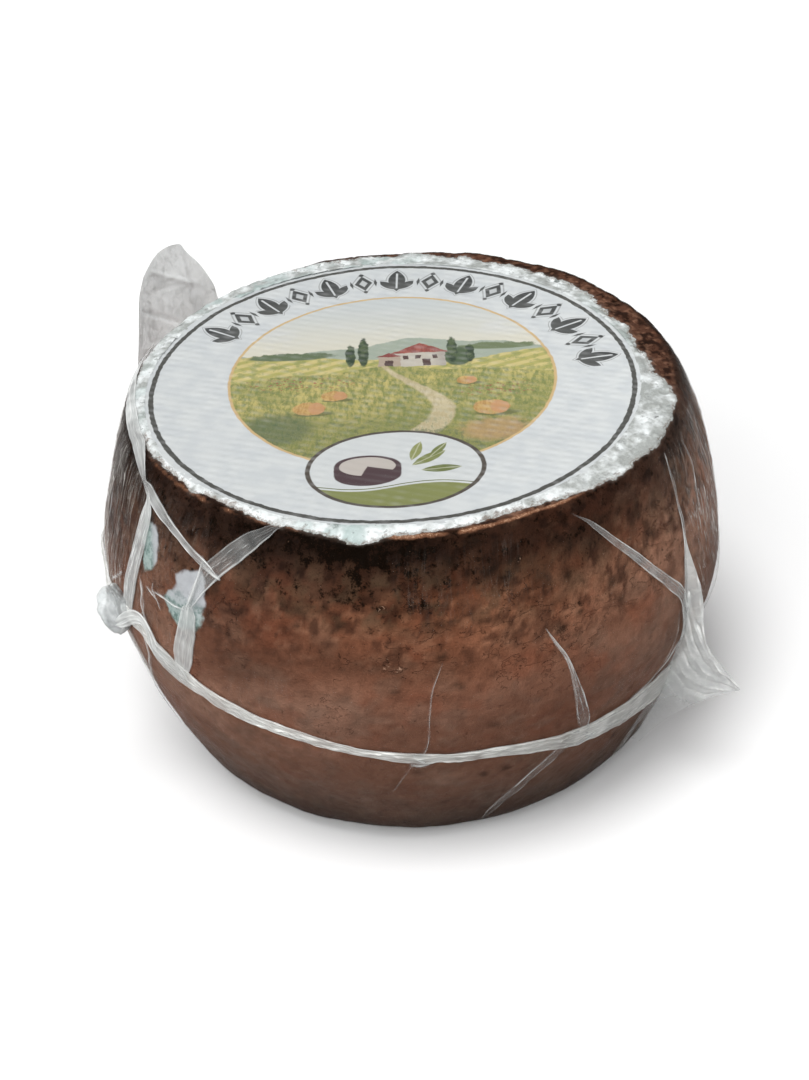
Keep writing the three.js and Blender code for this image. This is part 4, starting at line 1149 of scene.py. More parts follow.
ROUTES = (
    # name, route, cover, lines, fade, lift
    ("right_front", ((-58.4, 114.4, 0.9), (-55.6, 111.2, 1.3), (-53, 106.8, 1.8), (-49.6, 100.5, 2.3), (-46, 94.1, 2.7), (-42.5, 87, 3.1),
                     (-38.8, 79.7, 3.5), (-35.2, 71.5, 3.6), (-34.3, 62, 4.0), (-34, 50, 5)), 0.32,
     ((-0.86, -0.86, 0.30, 0.70, 0.30, 0.06), (0.86, 0.86, 0.36, 0.92, 0.45, 0.06), (0.2, 0.5, 0.22, 0.35, 0.2, 0.2)), (0.5, 0.0), 0.45),
    ("right_upper", ((-30.1, 113.6, 0.8), (-30.2, 105.9, 1.0), (-30.8, 98, 1.1), (-31.4, 90, 1.4), (-32.4, 81.7, 2.2), (-33.4, 72, 4.4), (-34, 60, 7.0)), 0.34,
     ((-0.80, -0.80, 0.26, 0.72, 0.3, 0.06), (0.80, 0.88, 0.24, 0.60, 0.3, 0.06)), (0.3, 0.0), 0.4),
    ("right_lower", ((-33.5, 40, 9), (-35, 30, 7), (-38, 20, 5), (-41.5, 11, 3), (-44, 5.5, 1.5)), 0.20,
     ((-0.9, -0.9, 0.26, 0.45, 0.25, 0.06), (0.9, 0.9, 0.26, 0.45, 0.25, 0.06), (0.1, -0.2, 0.3, 0.35, 0.2, 0.3)), (0.0, 0.75), 0.35),
    ("front_upper", ((-67.6, 86.5, 0.7), (-65.7, 80.3, 0.9), (-64.2, 75.7, 1.0), (-63.0, 69.5, 1.5), (-61.9, 61.5, 3.0), (-60, 51, 4.6), (-58.4, 42.3, 5.2)), 0.14,
     ((0.84, 0.84, 0.32, 0.92, 0.45, 0.05), (-0.55, -0.75, 0.55, 0.40, 0.2, 0.15), (0.2, 0.1, 0.4, 0.45, 0.2, 0.2)), (0.0, 0.0), 0.4),
    ("front_lower", ((-59.8, 40.5, 4.6), (-62.6, 36.8, 4.8), (-66, 31.2, 4.6), (-69.6, 25, 4.0), (-73.4, 17.6, 3.2), (-77.6, 8, 1.6)), 0.12,
     ((-0.80, -0.80, 0.34, 0.62, 0.35, 0.08), (0.80, 0.80, 0.26, 0.50, 0.3, 0.06)), (0.0, 0.7), 0.35),
    ("front_thin", ((-85.9, 81.6, 0.6), (-87.8, 73.5, 0.8), (-88.5, 65, 0.9), (-89.6, 49.3, 1.5), (-91.7, 43.3, 1.6), (-93.8, 36.2, 1.0), (-96.2, 28.6, 0.7)), 0.04,
     ((0.3, -0.3, 0.20, 0.46, 0.25, 0.10),), (0.25, 0.5), 0.35),
    ("left_strip", ((-202, 114.6, 1.0), (-194, 115.2, 2.2), (-186, 115.4, 3.2), (-176, 115.9, 4.4), (-166.5, 116.0, 4.6), (-157, 115.1, 5.0), (-150.5, 111.2, 4.4)), 0.66,
     ((-0.86, -0.86, 0.34, 0.80, 0.35, 0.06), (0.86, 0.86, 0.34, 0.75, 0.35, 0.06), (0.1, -0.1, 0.5, 0.60, 0.2, 0.3)), (0.2, 0.0), 0.5),
    ("left_rim", ((-151.5, 111.8, 4.6), (-147, 109.8, 4.8), (-143.6, 108.0, 3.9), (-140.2, 106.5, 3.0), (-137.4, 104.9, 2.2), (-134.4, 103.0, 2.2),
                  (-130.8, 100.9, 2.8), (-127, 98.6, 2.0)), 0.44,
     ((-0.80, -0.80, 0.30, 0.88, 0.45, 0.05), (0.80, 0.80, 0.30, 0.88, 0.45, 0.05)), (0.0, 0.1), 0.6),
    ("left_down", ((-149, 110.5, 3.0), (-148.2, 106.5, 4.4), (-148.3, 102.5, 5.8), (-148.9, 95.9, 6.8), (-150, 87.9, 7.2), (-151.2, 80, 7.2), (-152.4, 71, 6.4), (-153.4, 64, 6)), 0.70,
     ((-0.88, -0.88, 0.36, 0.80, 0.4, 0.05), (-0.15, -0.05, 0.36, 0.88, 0.45, 0.15), (0.86, 0.86, 0.28, 0.62, 0.3, 0.06), (0.4, 0.4, 0.22, 0.5, 0.25, 0.2)), (0.0, 0.0), 0.45),
    ("left_wide", ((-115.4, 115.9, 1.6), (-117, 115.6, 3.0), (-119.2, 113.9, 4.2), (-122.2, 110.2, 5.3), (-125.2, 105.7, 6.0), (-128.6, 100.0, 6.2),
                   (-130.8, 94.7, 5.0), (-132.4, 89.8, 3.6), (-133.8, 84.6, 3.0)), 0.17,
     ((0.88, 0.88, 0.30, 0.95, 0.45, 0.04), (-0.90, -0.90, 0.24, 0.50, 0.25, 0.04), (-0.4, -0.5, 0.26, 0.42, 0.2, 0.15),
      (0.1, 0.0, 0.22, 0.42, 0.2, 0.2), (0.5, 0.45, 0.20, 0.40, 0.2, 0.15)), (0.5, 0.0), 0.5),
    ("left_post", ((-132.9, 87.5, 4.4), (-133.4, 83.2, 6.6), (-133.9, 77.9, 7.4), (-134.6, 71.9, 7.6), (-135.4, 64.5, 7.2), (-136, 60, 5)), 0.70,
     ((-0.86, -0.86, 0.34, 0.80, 0.35, 0.05), (0.86, 0.86, 0.30, 0.70, 0.35, 0.05), (0.1, 0.2, 0.45, 0.70, 0.25, 0.25), (-0.35, -0.3, 0.3, 0.6, 0.2, 0.2)), (0.0, 0.0), 0.5),
    ("left_twist", ((-152.8, 64.4, 3.0, 4.6), (-151.1, 66.7, 4.0, 4.0), (-149.4, 69.3, 4.8, 3.2), (-147.4, 71.8, 4.6, 2.4), (-145.5, 72.5, 4.2, 1.8),
                    (-143.9, 71.0, 4.2, 1.5), (-142.9, 68.3, 5.0, 1.3), (-142.0, 65.2, 6.5, 1.2), (-139.5, 63.1, 8.0, 1.1), (-136.1, 60.9, 8.0, 1.0),
                    (-133.1, 59.2, 6.0, 0.9)), 0.60,
     ((-0.84, -0.84, 0.45, 0.85, 0.5, 0.08), (0.84, 0.84, 0.45, 0.90, 0.5, 0.08), (-0.6, 0.5, 0.5, 0.85, 0.4, 0.15), (0.5, -0.4, 0.4, 0.8, 0.3, 0.2)), (0.0, 0.3), 0.9),
    ("left_web", ((-156.5, 60, 8), (-152.5, 55, 9), (-150.5, 49, 8), (-150.5, 41, 6), (-152, 30, 3), (-153, 18, 1.4)), 0.26,
     ((-0.9, -0.9, 0.26, 0.55, 0.3, 0.05), (0.9, 0.9, 0.30, 0.62, 0.3, 0.05), (0.1, 0.0, 0.3, 0.4, 0.2, 0.3)), (0.0, 0.7), 0.4),
    ("rear_upper", ((127, 60, 6), (121, 74, 4.2), (115, 88, 3), (108, 104, 1.8), (105, 112, 1.2)), 0.24, EDGES, (0.0, 0.4), 0.45),
    ("rear_lower", ((139, 62, 6), (134, 50, 4.4), (130, 38, 3.4), (122, 20, 1.8)), 0.22, EDGES, (0.0, 0.6), 0.4),
    ("hidden_upper", ((44, 48, 6), (42.4, 62, 4.6), (41, 76, 3.4), (37, 98, 2.0), (33.4, 111, 1.2)), 0.24, EDGES, (0.0, 0.4), 0.45),
    ("hidden_lower", ((45, 49, 6), (49, 37, 4), (53, 26, 2.8), (58, 14, 1.6)), 0.22, EDGES, (0.0, 0.6), 0.4),
    ("rear_thin", ((84, 92, 0.8), (86.5, 78, 1.1), (88, 62, 1.8), (86, 46, 1.4), (83, 34, 0.8)), 0.06, ((0.3, -0.3, 0.26, 0.6, 0.35, 0.15),), (0.3, 0.4), 0.35),
    ("side_thin", ((8, 96, 0.8), (6, 80, 1.0), (5, 62, 1.6), (6, 44, 2.0), (9, 30, 1.0)), 0.06, ((0.3, -0.3, 0.26, 0.6, 0.35, 0.15),), (0.3, 0.4), 0.35),
)

STRANDS = (
    # route, width, solid
    (((-131.2, 103.2), (-130.6, 100.6), (-128.8, 99.4), (-126.4, 98.4)), 0.9, 0.95),
    (((-130.9, 101.6), (-131.6, 96.4), (-132.6, 90.9), (-134.1, 84.4)), 0.9, 0.9),
    (((-133.9, 84.6), (-137.2, 84.0), (-140.1, 84.5), (-143.2, 84.0)), 0.8, 0.85),
    (((-144.8, 84.3), (-143.2, 83.4), (-141.6, 82.3), (-140.4, 79.6)), 0.6, 0.75),
    (((-142.9, 87.2), (-143.0, 84.8), (-141.8, 82.8)), 0.5, 0.7),
    (((-148.4, 107.2), (-149.2, 101.2), (-150.1, 94.1), (-150.8, 87.1), (-151.6, 79.8), (-152.2, 71.6)), 1.0, 0.95),
    (((-147.0, 107.0), (-147.2, 99.9), (-148.0, 92.3), (-148.7, 85.2), (-149.5, 78.1), (-150.4, 71.0)), 0.7, 0.8),
    (((-160.4, 71.4), (-157.4, 75.4), (-154.2, 80.4)), 0.9, 0.75),
    (((-147.4, 83.9), (-146.3, 80.1), (-145.6, 76.8), (-147.0, 71.6), (-150.2, 68.2)), 0.6, 0.6),
    (((-147.2, 85.6), (-146.2, 81.5), (-146.5, 76.6), (-145.4, 73.4), (-143.6, 70.4), (-141.6, 66.4)), 0.8, 0.8),
    (((-150.0, 66.0), (-147.0, 66.6), (-145.6, 63.6), (-145.2, 60.0), (-146.6, 54.6), (-147.6, 48.4)), 1.1, 0.85),
    (((-149.4, 67.6), (-146.6, 70.2), (-144.6, 69.4), (-143.6, 65.6), (-142.4, 61.6), (-140.8, 58.6)), 0.9, 0.8),
    (((-91.8, 49.4), (-91.0, 46.4), (-89.6, 44.4)), 1.3, 0.9),
    (((-92.4, 44.4), (-91.2, 43.2), (-89.4, 43.6), (-88.4, 44.8)), 1.8, 0.95),
    (((-61.4, 43.4), (-58.8, 40.4), (-56.2, 37.2)), 1.7, 0.9),
    (((-62.4, 37.6), (-58.6, 35.6), (-55.6, 36.8), (-52.6, 39.2)), 1.4, 0.85),
    (((-34.9, 72.6), (-34.2, 66), (-33.2, 58), (-32.0, 50)), 1.3, 0.95),
    (((-36.0, 71.0), (-35.4, 62), (-35.2, 52), (-36.4, 44)), 0.8, 0.8),
    (((-37.0, 69.0), (-37.6, 62), (-38.4, 56), (-41.6, 46)), 0.5, 0.5),
    (((-48.0, 44.2), (-43.0, 46.0), (-39.0, 50.0), (-36.6, 57.0)), 0.8, 0.75),
    (((-50.0, 40.6), (-44.0, 41.6), (-39.0, 44.6), (-35.4, 51.0)), 0.7, 0.7),
    (((-52.0, 36.4), (-45.0, 35.2), (-38.6, 37.0), (-34.0, 41.0)), 0.8, 0.7),
    (((-22.4, 112), (-22.0, 104), (-23.2, 96), (-24.4, 88)), 0.5, 0.5),
    (((-165, 100), (-164, 92), (-165.4, 84), (-164, 76)), 0.5, 0.45),
)


def make_pleats():
    sh = Sheets()
    for k, (_, route, cover, lines, fade, lift) in enumerate(ROUTES):
        strip(sh, route, lines=lines, cover=cover, seed=200 + 10 * k, fade=fade, lift=lift)
    for k, (route, width, solid) in enumerate(STRANDS):
        strand(sh, route, width, solid, 0.5, 500 + k, lift=0.75)
    return sh.build("film_pleats")


def plane_ear(sh, az, edge, rays, rows=70, cols=46, cover=0.62, seed=1, clear=None, sway=1.2, root=None, swing=0.0):
    """An ear in an upright plane. edge lists [radius, height] from top to bottom."""
    e = np.asarray(edge, float)
    t = np.concatenate([[0], np.cumsum(np.hypot(*np.diff(e, axis=0).T))])
    a = np.linspace(0, t[-1], rows)
    er, ez = np.interp(a, t, e[:, 0]), np.interp(a, t, e[:, 1])
    top, low = root if root else (e[0, 1], e[-1, 1])
    rz = np.linspace(top, low, rows)
    turn = np.interp(rz, [66.0, 93.0], [az, az + swing])
    rr = barrel(rz) + out_of_round(turn, rz) + 0.4
    b = np.linspace(0, 1, cols)[None]
    r = rr[:, None] + (er - rr)[:, None] * b
    z = rz[:, None] + (ez - rz)[:, None] * b
    flat = np.stack([r.ravel(), z.ravel()], 1)
    key = np.stack([flat[:, 0], flat[:, 1], flat[:, 0] * 0], 1)
    out = np.maximum(r - barrel(z), 0)
    shift = sway * (out / 14.0) * (1 + 0.7 * fbm(key / 9.0, 3, seed).reshape(r.shape))
    cov = cover * (1 + 0.18 * fbm(key / 6.0, 3, seed + 1)).reshape(r.shape)
    tone = 0.42 + 0.2 * fbm(key / 5.0, 2, seed + 2).reshape(r.shape)
    for k, (line, wide, solid, high) in enumerate(rays):
        d, w = distance(flat + 0.35 * np.stack([fbm(key / 6, 2, seed + 5 + k), fbm(key / 6, 2, seed + 6 + k)], 1), line)
        g = (np.exp(-(d / wide) ** 2) * (0.7 + 0.5 * fbm(key / 4.0, 2, seed + 20 + k))).reshape(r.shape)
        cov = np.maximum(cov, solid * g)
        # the film is painted whiter along each ray: more layers of film, and a painted highlight
        tone = np.maximum(tone, g)
        shift = shift + high * g * (1 if k % 2 else -1)
    rim = np.abs(1 - b) * (er - rr)[:, None]
    cov = np.maximum(cov, 0.8 * np.exp(-(rim / 0.45) ** 2))
    if clear:
        d, _ = distance(flat, clear[0])
        cov = cov * (1 - clear[2] * np.exp(-(d.reshape(r.shape) / clear[1]) ** 2))
    f = np.radians(turn)[:, None]
    pts = np.stack([r * np.cos(f) - shift * np.sin(f), r * np.sin(f) + shift * np.cos(f), z], -1)
    sh.add(pts, np.stack([r, z], -1), cov, tone)


RIGHT_EAR = ((91.8, 93.0), (93.1, 89.4), (94.8, 85.0), (97.0, 80.5), (100.0, 74.9), (101.7, 68.5), (102.2, 63.0), (103.6, 56.0), (106.4, 51.6), (110.0, 46.8),
             (113.0, 44.0), (115.0, 42.2), (114.2, 40.4), (111.6, 38.4), (107.7, 36.4), (102.9, 32.4), (97.6, 27.4), (92.2, 21.8), (86.6, 14.6), (82.6, 8.2))
RIGHT_RAYS = (
    (((96.8, 84), (99.4, 76), (100.8, 66), (102.6, 57), (105.8, 51.4), (114.6, 42.4)), 0.50, 0.88, 0.2),
    (((96.9, 71.5), (98.8, 64.9), (101.4, 58.5), (104.0, 53.5)), 0.60, 0.95, 0.4),
    (((97.0, 70.0), (99.8, 60.0), (104.0, 52.0), (109.0, 46.2), (114.4, 42.0)), 0.50, 0.80, 0.3),
    (((96.6, 66), (99.0, 56), (103.4, 48), (109.0, 43.5), (114.2, 41.4)), 0.55, 0.78, 0.3),
    (((95.8, 60), (98.6, 50), (104.0, 44.4), (113.6, 40.8)), 0.40, 0.74, 0.3),
    (((95.0, 54), (98.0, 45), (104.0, 41.0), (112.6, 40.0)), 0.55, 0.72, 0.3),
    (((94.0, 46), (98.0, 40), (104.0, 38.0), (111.0, 39.0)), 0.40, 0.70, 0.3),
    (((93.0, 41), (97.0, 36), (103.0, 34.6), (108.0, 37.0)), 0.50, 0.66, 0.3),
    (((91.0, 36), (95.0, 31), (101.0, 31.6)), 0.45, 0.60, 0.3),
    (((109.4, 44.8), (111.2, 42.2), (110.4, 40.6)), 0.6, 0.95, 0.5),
    (((112.0, 43.0), (114.0, 41.8), (112.6, 40.6)), 0.6, 0.95, 0.5),
    (((101.6, 61.4), (102.6, 58.0), (103.0, 54.6)), 0.45, 0.9, 0.3),
)
HIDDEN_EAR = ((97.2, 68), (100.0, 62), (104.5, 57.5), (107.0, 51.5), (106.4, 48.0), (102.0, 42.5), (96.5, 37.5), (92.0, 32))
HIDDEN_RAYS = (
    (((96.5, 64), (101, 56), (106.4, 50.4)), 0.45, 0.8, 0.3),
    (((96.2, 56), (101, 52), (106.2, 49.6)), 0.5, 0.8, 0.3),
    (((95.4, 48), (100, 47.6), (105.8, 49.0)), 0.5, 0.75, 0.3),
    (((93.4, 40), (99, 43.4), (105.0, 48.0)), 0.45, 0.7, 0.3),
)

REAR_ROOT = ((119, 57), (127, 60), (135, 61.5), (143, 62.5), (152, 64), (159, 66))
REAR_EDGE = ((121.5, 106.5, 76), (123.4, 110, 90), (124.8, 111, 101.4), (126.6, 112.4, 109.6), (129.2, 112.4, 117.8), (130.7, 110.6, 122.9),
             (133.6, 110.2, 124.2), (136.2, 109.8, 124.0), (139.0, 108.8, 122.4), (141.6, 107.8, 119.8), (143.6, 106.2, 116.4), (145.2, 104.9, 112.2),
             (146.3, 103.8, 107), (147.2, 103.2, 102), (148.4, 102.4, 96), (150.6, 101.2, 86), (153.6, 99.6, 76))


def make_ears():
    sh = Sheets()
    plane_ear(sh, -34.4, RIGHT_EAR, RIGHT_RAYS, rows=130, cols=60, cover=0.66, seed=301, root=(93.0, 8.2), swing=3.2,
              clear=(((82, 8), (88, 17), (94, 25)), 7.0, 0.78))
    plane_ear(sh, 44.5, HIDDEN_EAR, HIDDEN_RAYS, rows=60, cols=34, cover=0.6, seed=341, sway=1.4)
    # the rear ear stands up behind the rim, almost along the flank
    n, m = 150, 80
    t = np.linspace(0, 1, n)

    def along(rows):
        a = np.asarray(rows, float)
        k = np.linspace(0, 1, len(a))
        return [np.interp(t, k, a[:, c]) for c in range(a.shape[1])]

    ra, rz = along(REAR_ROOT)
    ea, er, ez = along(REAR_EDGE)
    for _ in range(6):  # take the corners off, but keep the ends and the apex
        for arr in (ea, er, ez):
            arr[1:-1] = 0.5 * arr[1:-1] + 0.25 * (arr[:-2] + arr[2:])
    start = surf(ra, s_of_z(rz), 1.2)
    fr = np.radians(ea)
    end = np.stack([er * np.cos(fr), er * np.sin(fr), ez], -1)
    b = np.linspace(0, 1, m)
    p = start[:, None] * (1 - b)[None, :, None] + end[:, None] * b[None, :, None]
    az = np.degrees(np.arctan2(p[..., 1], p[..., 0]))
    flat = np.stack([az.ravel() * 1.9, p[..., 2].ravel()], 1)
    key = np.stack([flat[:, 0], flat[:, 1], flat[:, 0] * 0], 1)
    u, v = np.meshgrid(t, b, indexing="ij")
    push = 2.0 * np.sin(np.pi * u) * np.sin(np.pi * v) + 0.5 * v * fbm(key / 12.0, 2, 361).reshape(u.shape)
    cov = 0.84 * (1 + 0.08 * fbm(key / 9.0, 3, 362)).reshape(u.shape)
    tone = 0.86 + 0.20 * fbm(key / 7.0, 3, 363).reshape(u.shape)
    # soft folds, each painted whiter along its line as a highlight as well as thicker; the panels between them catch
    # the light differently
    creases = (
        (((139.0 * 1.9, 119.6), (133 * 1.9, 112.0), (127.8 * 1.9, 105.6)), 0.7, 0.86, 0.9),
        (((143.4 * 1.9, 109.4), (139 * 1.9, 104.0), (134.6 * 1.9, 97.6)), 0.7, 0.90, 1.0),
        (((130.7 * 1.9, 122.4), (127.6 * 1.9, 112.0), (124.6 * 1.9, 101.0)), 0.9, 0.82, 0.4),
        (((141.8 * 1.9, 114.0), (137 * 1.9, 111.4), (132 * 1.9, 110.0)), 0.5, 0.84, 0.3),
        (((146 * 1.9, 98.0), (141 * 1.9, 95.0), (137 * 1.9, 94.0)), 0.6, 0.84, 0.4),
        (((135.4 * 1.9, 118.0), (136.4 * 1.9, 114.4)), 1.0, 0.86, 0.3),
        (((136.6 * 1.9, 107.0), (136.0 * 1.9, 103.6)), 1.0, 0.88, 0.3),
    )
    for k, (line, wide, solid, high) in enumerate(creases):
        d, w = distance(flat, line)
        g = np.exp(-(d / wide) ** 2).reshape(u.shape) * np.sin(np.pi * np.clip(w, 0.02, 0.98)).reshape(u.shape) ** 0.4
        cov = np.maximum(cov, solid * g)
        tone = np.maximum(tone, 0.75 * g)
        push = push + high * g * (1 if k % 2 else -1)
    # the panel below one fold is painted lighter: a painted highlight
    below = flat[:, 1] - (109.4 + (flat[:, 0] - 143.4 * 1.9) * (97.6 - 109.4) / ((134.6 - 143.4) * 1.9))
    tone = tone + 0.30 * smooth(-below, -0.4, 0.8).reshape(u.shape)
    rim = np.linalg.norm(p - end[:, None], axis=2)
    cov = np.maximum(cov, 0.88 * np.exp(-(rim / 0.5) ** 2))
    du, dv = np.gradient(p, axis=0), np.gradient(p, axis=1)
    nrm = np.cross(du, dv)
    nrm /= np.maximum(np.linalg.norm(nrm, axis=2), 1e-9)[..., None]
    nrm *= np.sign((nrm[..., 0] * p[..., 0] + nrm[..., 1] * p[..., 1]))[..., None]
    p = p + nrm * push[..., None]
    sh.add(p, np.stack([az * 1.9, p[..., 2]], -1), np.clip(cov, 0, 0.93), np.clip(tone, 0, 1))
    return sh.build("film_ears")


def make_lobe():
    """The left corner of the bag, rolled up into a soft fold."""
    sh = Sheets()
    n, m = 180, 90
    a, b = np.meshgrid(np.linspace(0, 2 * np.pi, n, endpoint=False), np.linspace(0.02, np.pi - 0.02, m), indexing="ij")
    # y runs round the wheel, z up, x outwards; the poles are at the ends of y
    x, y, z = np.sin(b) * np.cos(a), -np.cos(b), np.sin(b) * np.sin(a)
    key = np.stack([x.ravel() * 3, y.ravel() * 3, z.ravel() * 3], 1)
    turn = 2 * a + 3.4 * y + 1.9 * fbm(key / 2.2, 2, 381).reshape(a.shape)
    swirl = np.sin(turn)
    crease = np.exp(-((1 - np.abs(np.sin(turn * 0.5 + 0.6))) / 0.09) ** 2)
    wr = 1 + 0.09 * swirl + 0.10 * fbm(key / 1.6, 3, 382).reshape(a.shape) + 0.07 * crease
    x, z = x * wr, z * wr
    px = 4.5 * x * (1 + 0.2 * np.sin(3.1 * y + 4 * z))
    pz = 7.1 * z * (1 - 0.1 * y) - 1.0 * y * y
    py = 7.4 * y
    f = math.radians(-155.5)
    r0 = 98.8
    pts = np.stack([(r0 + px) * math.cos(f) - py * math.sin(f), (r0 + px) * math.sin(f) + py * math.cos(f), 65.8 + pz], -1)
    fine = 0.5 + 0.5 * np.sin(9 * a + 5 * y + 3.0 * fbm(key / 1.4, 2, 383).reshape(a.shape))
    soft = fbm(key / 1.9, 3, 384).reshape(a.shape)
    cov = 0.66 + 0.10 * soft + 0.20 * crease + 0.07 * fine ** 3
    # whiter along the creases: more layers of film, and a painted highlight
    tone = 0.20 + 0.34 * soft + 0.55 * crease + 0.16 * fine ** 3
    sh.add(pts, np.stack([a * 6, y * 9], -1), np.clip(cov, 0, 0.92), np.clip(tone, 0, 1), close=True)
    return sh.build("film_lobe")


def make_skin():
    """The tight film itself, clear but for its fine upright wrinkles."""
    cols = 620
    s = np.linspace(S_FOOT + 2, S_RIM - 0.3, 80)
    phi, s = np.meshgrid(np.arange(cols) * 360.0 / cols - 180.0, s, indexing="ij")
    p = surf(phi, s).reshape(-1, 3)
    f, z = phi.ravel(), p[:, 2]
    band = np.interp(z, [0, 25, 52, 70, 100, 113, 116.5], [0.25, 0.40, 0.60, 1.0, 1.0, 0.8, 0.2])
    left = bell(wrap(f + 171), 0, 24) * band
    right = bell(wrap(f + 6), 0, 34) * smooth(f, -36, -24) * band * 1.1
    back = (bell(wrap(f - 78), 0, 38) * 0.46 + bell(wrap(f - 150), 0, 18) * 0.5) * band
    m = np.clip(left + right + back + 0.03 + 0.17 * smooth(fbm(p / 22.0, 2, 405), 0.1, 0.8), 0, 1)
    m = m * (0.75 + 0.5 * fbm(p / 9.0, 3, 406))
    fade = smooth(z, HEIGHT - 0.6, HEIGHT - 5) * smooth(s.ravel(), S_FOOT + 2, S_FOOT + 14)
    m = m * fade
    rise = 0.28 + 1.4 * bell(wrap(f + 22), 0, 7) * bell(z, 66, 12)   # it bridges to the right ear
    pts = surf(phi, s, (RELIEF.at(phi, s) + rise.reshape(phi.shape)))
    pts[..., 2] = np.maximum(pts[..., 2], 0.05)
    # places round the wheel bent by a slow noise, so that the wrinkles wander
    bent = np.radians(f + 1.5 * fbm(np.stack([p[:, 0] / 15, p[:, 1] / 15, z / 24.0], 1), 1, 401))
    return grid_mesh("film_skin", pts, close=True, drop=fade < 0.04,
                     attrs={"cover": np.clip(m, 0, 1), "wx": 96 * np.cos(bent), "wy": 96 * np.sin(bent),
                            "wz": z * 0.07 + 0.22 * fbm(p / 22.0, 1, 407)})


def skin_material():
    m = Material("clear_film_skin")
    amount = m.attr("cover")
    fold = m.noise(m.join(m.attr("wx"), m.attr("wy"), m.attr("wz")), 0.52, 2, 0.6)
    thin = m.ramp(abs(fold - 0.5), 0.026, 0.004) + m.ramp(abs(fold - 0.59), 0.018, 0.003) * 0.8
    slow = m.ramp(fold, 0.36, 0.62)
    edge = m.node("ShaderNodeLayerWeight")
    edge.inputs["Blend"].default_value = 0.32
    graze = V(m, edge.outputs["Facing"]) ** 4.0
    alpha = (amount * amount * 0.66 + amount * 0.05) * thin + amount * slow * 0.03 + graze * (amount * 0.36 + 0.14) * (0.6 + slow * 0.6)
    col = m.mix(thin, lin(168, 164, 158), lin(228, 223, 214))
    return m.finish(Base_Color=col, Roughness=0.30, Specular_IOR_Level=0.5, Alpha=alpha.min(0.9).max(0.0),
                    Normal=m.bump(fold * 1.0 + thin * 0.35, 0.40, 0.0006))


def film_material(name, milky=0.25, streaks=1.0, rough=0.27, dim=(170, 174, 174), fold_white_and_highlight=(236, 238, 236)):
    m = Material(name)
    cover, white = m.attr("cover"), m.attr("white")
    edge = m.node("ShaderNodeLayerWeight")
    edge.inputs["Blend"].default_value = 0.32
    graze = V(m, edge.outputs["Facing"])
    graze = graze * graze * milky * (cover * 2.0 + 0.10)
    if streaks:
        u, v, _ = m.split(m.uv())
        long = m.noise(m.join(u * 0.10, v * 1.5, 0.0), 1.0, 3, 0.6, 0.3)
        hair = m.noise(m.join(u * 0.06, v * 3.6, 5.0), 1.0, 2, 0.6, 0.2)
        bright = (m.ramp(long, 0.46, 0.70) * 0.30 + m.ramp(hair, 0.54, 0.74) * 0.20) * streaks
    else:
        long = m.noise(m.place(), 0.35, 3, 0.6, 0.4)
        hair = m.noise(m.place(), 1.1, 2, 0.6)
        bright = m.ramp(long, 0.46, 0.66) * 0.16
    # brighter streaks thicken the film, and the colour runs from dim film to white along folds and streaks: more layers
    # of film, and a painted highlight
    alpha = cover * (0.88 + bright) + graze
    col = m.mix(white + bright * 0.5, lin(*dim), lin(*fold_white_and_highlight))
    return m.finish(Base_Color=col, Roughness=rough, Specular_IOR_Level=0.5,
                    Alpha=alpha.min(0.96).max(0.0), Normal=m.bump(long * 0.6 + hair * 0.4, 0.35, 0.0004))


# --------------------------------------------------------------------------
# Camera, floor and light
# --------------------------------------------------------------------------
def make_camera():
    e, roll, dist = math.radians(35.5), math.radians(-2.78), 672.0
    focal_px, cx, cy = 2109.0, 412.0, 535.1
    fwd = np.array([0, math.cos(e), -math.sin(e)])
    right, up = np.array([1.0, 0, 0]), np.array([0, math.sin(e), math.cos(e)])
    r2 = math.cos(roll) * right + math.sin(roll) * up
    u2 = -math.sin(roll) * right + math.cos(roll) * up
    at = np.array([0, 0, 58.8]) - fwd * dist
    cam = bpy.data.cameras.new("camera")
    cam.sensor_fit = "AUTO"
    cam.sensor_width = 36.0
    cam.lens = focal_px / 1080.0 * 36.0
    cam.shift_x = -(cx - 404.5) / 1080.0
    cam.shift_y = -(540.0 - cy) / 1080.0
    cam.clip_start, cam.clip_end = 0.01, 50
    ob = bpy.data.objects.new("camera", cam)
    m = Matrix([[r2[i], u2[i], -fwd[i], at[i] * MM] for i in range(3)] + [[0, 0, 0, 1]])
    ob.matrix_world = m
    bpy.context.scene.collection.objects.link(ob)
    bpy.context.scene.camera = ob


def area(name, at, aim, size, power, colour=(1, 1, 1)):
    light = bpy.data.lights.new(name, "AREA")
    light.shape = "RECTANGLE"
    light.size, light.size_y = size
    light.energy = power
    light.color = colour
    ob = bpy.data.objects.new(name, light)
    ob.location = at
    ob.rotation_euler = (Vector(aim) - Vector(at)).to_track_quat("-Z", "Y").to_euler()
    bpy.context.scene.collection.objects.link(ob)


def sun(name, toward, strength, angle):
    light = bpy.data.lights.new(name, "SUN")
    light.energy = strength
    light.angle = math.radians(angle)
    ob = bpy.data.objects.new(name, light)
    ob.rotation_euler = (-Vector(toward)).to_track_quat("-Z", "Y").to_euler()
    bpy.context.scene.collection.objects.link(ob)


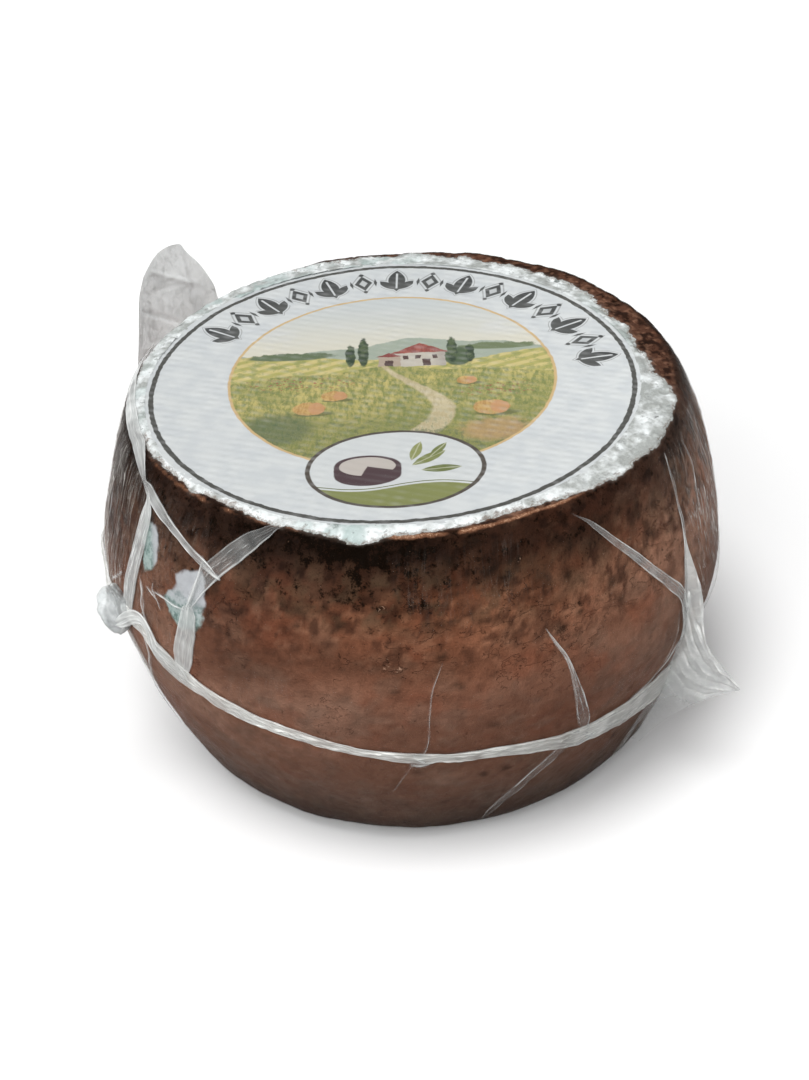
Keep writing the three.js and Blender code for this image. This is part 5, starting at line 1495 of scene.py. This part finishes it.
def make_stage():
    me = bpy.data.meshes.new("floor")
    a = 4.0
    me.from_pydata([(-a, -a, 0), (a, -a, 0), (a, a, 0), (-a, a, 0)], [], [(0, 1, 2, 3)])
    ob = bpy.data.objects.new("floor", me)
    bpy.context.scene.collection.objects.link(ob)
    m = Material("floor")
    me.materials.append(m.finish(Base_Color=(0.93, 0.93, 0.93, 1), Roughness=0.9, Specular_IOR_Level=0.1))
    ob.visible_diffuse = False
    world = bpy.data.worlds.new("world")
    bpy.context.scene.world = world
    world.use_nodes = True
    nt = world.node_tree
    back = nt.nodes["Background"]
    back.inputs[0].default_value = (1, 1, 1, 1)
    way = nt.nodes.new("ShaderNodeTexCoord")
    part = nt.nodes.new("ShaderNodeSeparateXYZ")
    nt.links.new(way.outputs["Generated"], part.inputs[0])
    ramp = nt.nodes.new("ShaderNodeMapRange")
    for k, v in (("From Min", -0.5), ("From Max", 0.15), ("To Min", 0.12), ("To Max", 0.335)):
        ramp.inputs[k].default_value = v
    nt.links.new(part.outputs["Z"], ramp.inputs["Value"])
    nt.links.new(ramp.outputs["Result"], back.inputs[1])
    bpy.context.scene.view_settings.view_transform = "Standard"
    sun("key", (-0.177, -0.211, 0.961), 1.80, 26)
    sun("front", (-0.433, -0.75, 0.50), 1.70, 60)
    sun("side", (0.9, -0.45, 0.50), 0.35, 60)
    area("glint", (-0.35, -0.95, 0.95), (0, 0, 0.07), (0.35, 0.5), 1.2)


# --------------------------------------------------------------------------
make_camera()
make_stage()
piece(make_wheel(), rind_material(), "rind", "cheese_wheel")
piece(make_bloom(), bloom_material(), "rind")
piece(make_label(), label_material(), "label_paper", "paper_label")
clear = film_material("clear_film")
piece(make_seam(), film_material("clear_film_seam", 0.25, 1.0, 0.25, (200, 200, 195), (246, 247, 243)), "clear_film", "film_bag")
piece(make_pleats(), clear, "clear_film")
piece(make_ears(), film_material("clear_film_ears", 0.1, 0.0), "clear_film")
piece(make_lobe(), film_material("clear_film_lobe", 0.1, 0.0, 0.42, (146, 151, 152), (214, 218, 218)), "clear_film")
piece(make_skin(), skin_material(), "clear_film").visible_shadow = False
